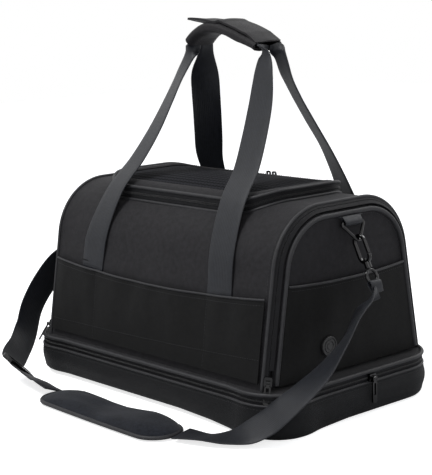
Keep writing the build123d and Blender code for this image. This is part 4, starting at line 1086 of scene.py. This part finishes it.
# --- shoulder strap
RING_SPOT = Vector((207.6, 5, 218.5))
HOOK_DOWN = Vector((sin(radians(26)), 0, -cos(radians(26))))
HOOK_OUT = Vector((cos(radians(26)), 0, sin(radians(26))))
RIGHT_STRAP = (
    ((243, -16, 132), (0.74, -0.66, 0)),
    ((245.5, -31, 120.5), (0.74, -0.66, 0.10)),
    ((248.5, -46, 108.5), (0.76, -0.61, 0.24)),
    ((251.5, -68, 93), (0.83, -0.53, 0.17)),
    ((251.5, -96.5, 72), (0.87, -0.48, -0.08)),
    ((246, -118.5, 56), (0.89, -0.41, -0.20)),
    ((234.5, -135, 39.5), (0.91, -0.33, -0.26)),
    ((220, -145.5, 24.5), (0.87, -0.38, -0.32)),
    ((204, -156.5, 13.5), (0.80, -0.50, -0.30)),
    ((186, -170.5, 7), (0.52, -0.85, -0.08)),
    ((163, -184, 4.9), (0.25, -0.96, 0.14)),
)
LEFT_STRAP = (
    ((-248, -12, 131), (-0.10, 0.75, -0.65)),
    ((-250, -38, 127), (-0.05, 0.50, -0.86)),
    ((-249, -70, 126), (-0.05, 0.50, -0.86)),
    ((-247, -100, 104), (-0.10, 0.75, -0.65)),
    ((-246, -122, 76), (-0.15, 0.88, -0.45)),
    ((-239, -137.5, 48.5), (-0.17, 0.90, -0.38)),
    ((-221, -161.5, 32), (-0.22, 0.80, -0.56)),
    ((-196.4, -189.5, 22.9), (-0.13, 0.75, -0.65)),
    ((-184, -191, 19), (-0.13, 0.75, -0.65)),
    ((-171.6, -192.5, 15.1), (-0.13, 0.75, -0.65)),
    ((-150, -190.5, 13), (0.02, 0.86, -0.50)),
    ((-122, -193.5, 10.5), (0.03, 0.88, -0.47)),
)
PAD_SPOT, PAD_TURN = Vector((18, -204, 0)), radians(-1)
PAD_HALF, PAD_DEEP, PAD_HIGH, PAD_SEAM = 115, 28, 15, 4.4
PAD_FRAME = Matrix.Rotation(PAD_TURN, 3, "Z")
STRAP_END = {1: (13, 0, 0, 38), -1: (6, 3.5, -0.38, 30)}     # aside on the pad, lift, tilt and width by side


def mirrored(point, side):
    return Vector((point[0] * side, point[1], point[2]))


def make_strap(side, word):
    start = mirrored(RING_SPOT + HOOK_DOWN * 83.1, side)
    points = RIGHT_STRAP if side > 0 else LEFT_STRAP
    stations = [station(start, (0, -side, 0), 17, 3.2), station(points[0][0], points[0][1], 30, 2.0)]
    stations += [station(p, w, 40, 1.6) for p, w in points[1:]]
    aside, lift, tilt, wide = STRAP_END[side]
    end = PAD_SPOT + PAD_FRAME @ Vector((side * (PAD_HALF + 0.3), aside, PAD_SEAM))
    end.z += lift
    stations.append(station(end, (0, -side, tilt), wide, 1.6))
    nodes = (f"{word}_strap",)
    chain = [f"{word}_swivel", f"{word}_hook", f"{word}_ring", f"{word}_door", "cabin", "base", "strap_pad"]
    stops = (0, 1, 2, 3, 4, 6, 9) if side > 0 else (0, 1, 2, 3, 4, 5, 7)
    for k, (near, far) in enumerate(zip(chain, chain[1:])):
        first, last = stops[k], stops[k + 1]
        a, b = (Vector(stations[i][:3]) for i in (first, last))
        bridge = (near, far, tuple(a.lerp(b, 0.12)), tuple(a.lerp(b, 0.88)))
        webbing(f"{word}_strap_run_{k + 1}", stations, nodes, first, last, bridge=bridge, steps=10)
    webbing(f"{word}_strap_run_7", stations, nodes, stops[-1], body="strap_pad", steps=10)


def make_badge():
    """Moulded disc on the right door's pocket: a raised rim round plain rings."""
    middle = (Vector(BADGE_LOW) + Vector(BADGE_HIGH)) / 2
    radius = (BADGE_HIGH[1] - BADGE_LOW[1]) / 2
    profile = ((1.0, -1.5), (1.0, 2.0), (0.95, 2.8), (0.86, 2.8), (0.81, 1.8), (0.66, 1.8), (0.62, 2.6),
               (0.54, 2.6), (0.50, 1.8), (0.34, 1.8), (0.30, 2.5), (0.02, 2.5))

    def put(u, v):
        step = v * (len(profile) - 1)
        k = min(int(step), len(profile) - 2)
        wide, out = (between(profile[k][i], profile[k + 1][i], step - k) for i in (0, 1))
        turn = 2 * pi * u
        y, z = middle.y + wide * radius * cos(turn), middle.z + wide * radius * sin(turn)
        return Vector((BADGE_HIGH[0] + out * MM, y, z))
    sewn("badge_disc", (96, 2 * (len(profile) - 1)), put, (0.08, 0.02),
         "badge_rubber", "right_door", ("right_badge",))


def make_ring_tab(side, word):
    """Webbing folded round the ring's bar and sewn under the door's piping."""
    x, y, z = RING_SPOT
    face = DOOR_X / MM
    reach = 3.1
    sewn_at = 242 - 9.8 - 6.6     # the cabin's top, less the door's inset and its piping
    spots = [
        (face + 2.6, sewn_at, 39), (face + 3.0, z + 7, 31), (x + reach, z + 1, 27.5), (x + 2.2, z - 2.2, 27),
        (x, z - reach, 27), (x - 2.2, z - 2.2, 27), (x - reach, z + 1, 27.5), (face + 0.9, z + 7, 31),
        (face + 0.9, sewn_at, 39),
    ]
    stations = [station(mirrored((sx, y, sz), side), (0, side, 0), wide, 1.4) for sx, sz, wide in spots]
    webbing(f"{word}_ring_fold", stations, (f"{word}_ring_tab",), body=f"{word}_door")
    out = Vector((side, 0, 0))
    route = curve(lambda s: Vector((side * (face + 3.9), y + between(-15, 15, s), z + 6)) * MM, lambda s: out)
    stitches(f"{word}_ring_fold_seam", route, f"{word}_door", pitch=3 * MM)


def make_strap_loop(side, word):
    """Strap end folded round the swivel's eye."""
    eye = 72.6
    reach = 3.0
    spots = [
        (83.4, 1.0), (79.0, 1.6), (eye + 1, reach), (eye - 2.2, 2.2), (eye - reach, 0),
        (eye - 2.2, -2.2), (eye + 1, -reach), (79.0, -1.6), (83.4, -1.0),
    ]
    stations = []
    for down, out in spots:
        point = mirrored(RING_SPOT + HOOK_DOWN * down + HOOK_OUT * out, side)
        stations.append(station(point, (0, side, 0), 17, 1.5))
    webbing(f"{word}_loop_fold", stations, (f"{word}_strap_loop",), body=f"{word}_swivel")


def make_pad():
    def put(u, v):
        radial = sin(pi * v)
        top = v > 0.5
        spot, _ = oblong(u, PAD_HALF, PAD_DEEP, PAD_DEEP - 0.5)
        crown = (1 - radial**3.6) ** 0.66
        spot = spot * radial
        lobes = 2.0 + 3.5 * (spot.x / PAD_HALF) - 6.0 * exp(-((spot.x / 42) ** 2))
        dent = (lobes + 1.2 * ripple(spot.x * 0.03, spot.y * 0.06, 0.3)) * crown
        height = PAD_SEAM + ((PAD_HIGH - PAD_SEAM) * crown + dent if top else -PAD_SEAM * min(crown * 1.8, 1))
        local = Vector((spot.x, spot.y + 2.0 * (spot.x / PAD_HALF) ** 2, max(height, 0.0)))
        return (PAD_SPOT + PAD_FRAME @ local) * MM
    pad = sewn("pad_cushion", (200, 56), put, (0.5, 0.12), "pad_knit", "strap_pad", ("shoulder_pad",))

    def rim(share):
        spot, _ = oblong(share, PAD_HALF - 0.8, PAD_DEEP - 0.8, PAD_DEEP - 1.6)
        local = Vector((spot.x, spot.y + 2.0 * (spot.x / PAD_HALF) ** 2, PAD_SEAM))
        return (PAD_SPOT + PAD_FRAME @ local) * MM
    route = curve(rim, lambda s: Vector((*oblong(s, PAD_HALF, PAD_DEEP, PAD_DEEP - 0.5)[1], 0)))
    piping("pad_binding", route, 2.4 * MM, 200, "strap_pad", closed=True)


# --- camera, light and floor
def make_camera():
    azimuth, elevation, roll, distance = radians(48.23), radians(9.25), radians(-1.75), 1710.6
    target = Vector((-10.95, 0, 205.93))
    back = Vector((sin(azimuth) * cos(elevation), -cos(azimuth) * cos(elevation), sin(elevation)))
    right = (-back).cross(Vector((0, 0, 1))).normalized()
    up = right.cross(-back)
    turned_right = right * cos(roll) + up * sin(roll)
    turned_up = up * cos(roll) - right * sin(roll)
    place = Matrix((turned_right, turned_up, back)).transposed().to_4x4()
    place.translation = (target + back * distance) * MM
    lens = bpy.data.cameras.new("camera")
    focal, long_side, sensor = 1390.1, 475, 36
    lens.lens = focal * sensor / long_side
    lens.shift_x, lens.shift_y = -2.06 / long_side, -23.28 / long_side
    lens.clip_end = 50
    camera = add_object("camera", lens)
    camera.matrix_world = place
    bpy.context.scene.camera = camera


def lamp(name, place, power, size, target=(0, 0, 0.15)):
    data = bpy.data.lights.new(name, "AREA")
    data.energy, data.shape, data.size = power, "DISK", size
    made = add_object(name, data)
    made.location = place
    made.rotation_euler = (Vector(target) - Vector(place)).to_track_quat("-Z", "Y").to_euler()


def make_light():
    lamp("key", (-0.5, -1.3, 2.5), 52, 1.1)
    lamp("fill", (2.3, -0.9, 1.0), 9, 1.5)
    lamp("back", (0.4, 1.9, 2.0), 16, 1.2)
    world = bpy.data.worlds.new("studio")
    world.use_nodes = True
    tree = world.node_tree
    sky = tree.nodes["Background"]
    sky.inputs["Color"].default_value = (0.32, 0.33, 0.35, 1)
    white = node(tree, "Background")
    white.inputs["Color"].default_value = (1, 1, 1, 1)
    path = node(tree, "LightPath")
    seen = calc(tree, "MAXIMUM", path.outputs["Is Camera Ray"], calc(
        tree, "MAXIMUM", path.outputs["Is Glossy Ray"], path.outputs["Is Transmission Ray"]))
    mix = node(tree, "MixShader")
    tree.links.new(seen, mix.inputs[0])
    tree.links.new(sky.outputs[0], mix.inputs[1])
    tree.links.new(white.outputs[0], mix.inputs[2])
    tree.links.new(mix.outputs[0], tree.nodes["World Output"].inputs[0])
    bpy.context.scene.world = world
    bpy.context.scene.view_settings.view_transform = "Standard"


def make_floor():
    bm = bmesh.new()
    bmesh.ops.create_grid(bm, x_segments=1, y_segments=1, size=4.0)
    floor = add_object("floor", mesh_from("floor", bm))
    material, tree, surface = start_material("pale floor", Roughness=0.9, Specular_IOR_Level=0.1)
    surface.inputs["Base Color"].default_value = (0.86, 0.86, 0.87, 1)
    glow = node(tree, "Emission")
    glow.inputs["Color"].default_value = (1, 1, 1, 1)
    path = node(tree, "LightPath")
    tree.links.new(calc(tree, "MULTIPLY", path.outputs["Is Camera Ray"], 0.75), glow.inputs["Strength"])
    add = node(tree, "AddShader")
    tree.links.new(surface.outputs[0], add.inputs[0])
    tree.links.new(glow.outputs[0], add.inputs[1])
    tree.links.new(add.outputs[0], tree.nodes["Material Output"].inputs[0])
    floor.data.materials.append(material)


make_camera()
make_light()
make_floor()
make_tray()
make_base_zip()
make_gusset()
make_mat()
make_cabin()
make_rim()
for side, word in ((1, "right"), (-1, "left")):
    make_end(side, word)
    make_ring_tab(side, word)
    make_strap_loop(side, word)
    make_strap(side, word)
make_front_pocket()
make_anchors()
make_flap()
make_legs()
make_grip()
make_pad()
make_badge()
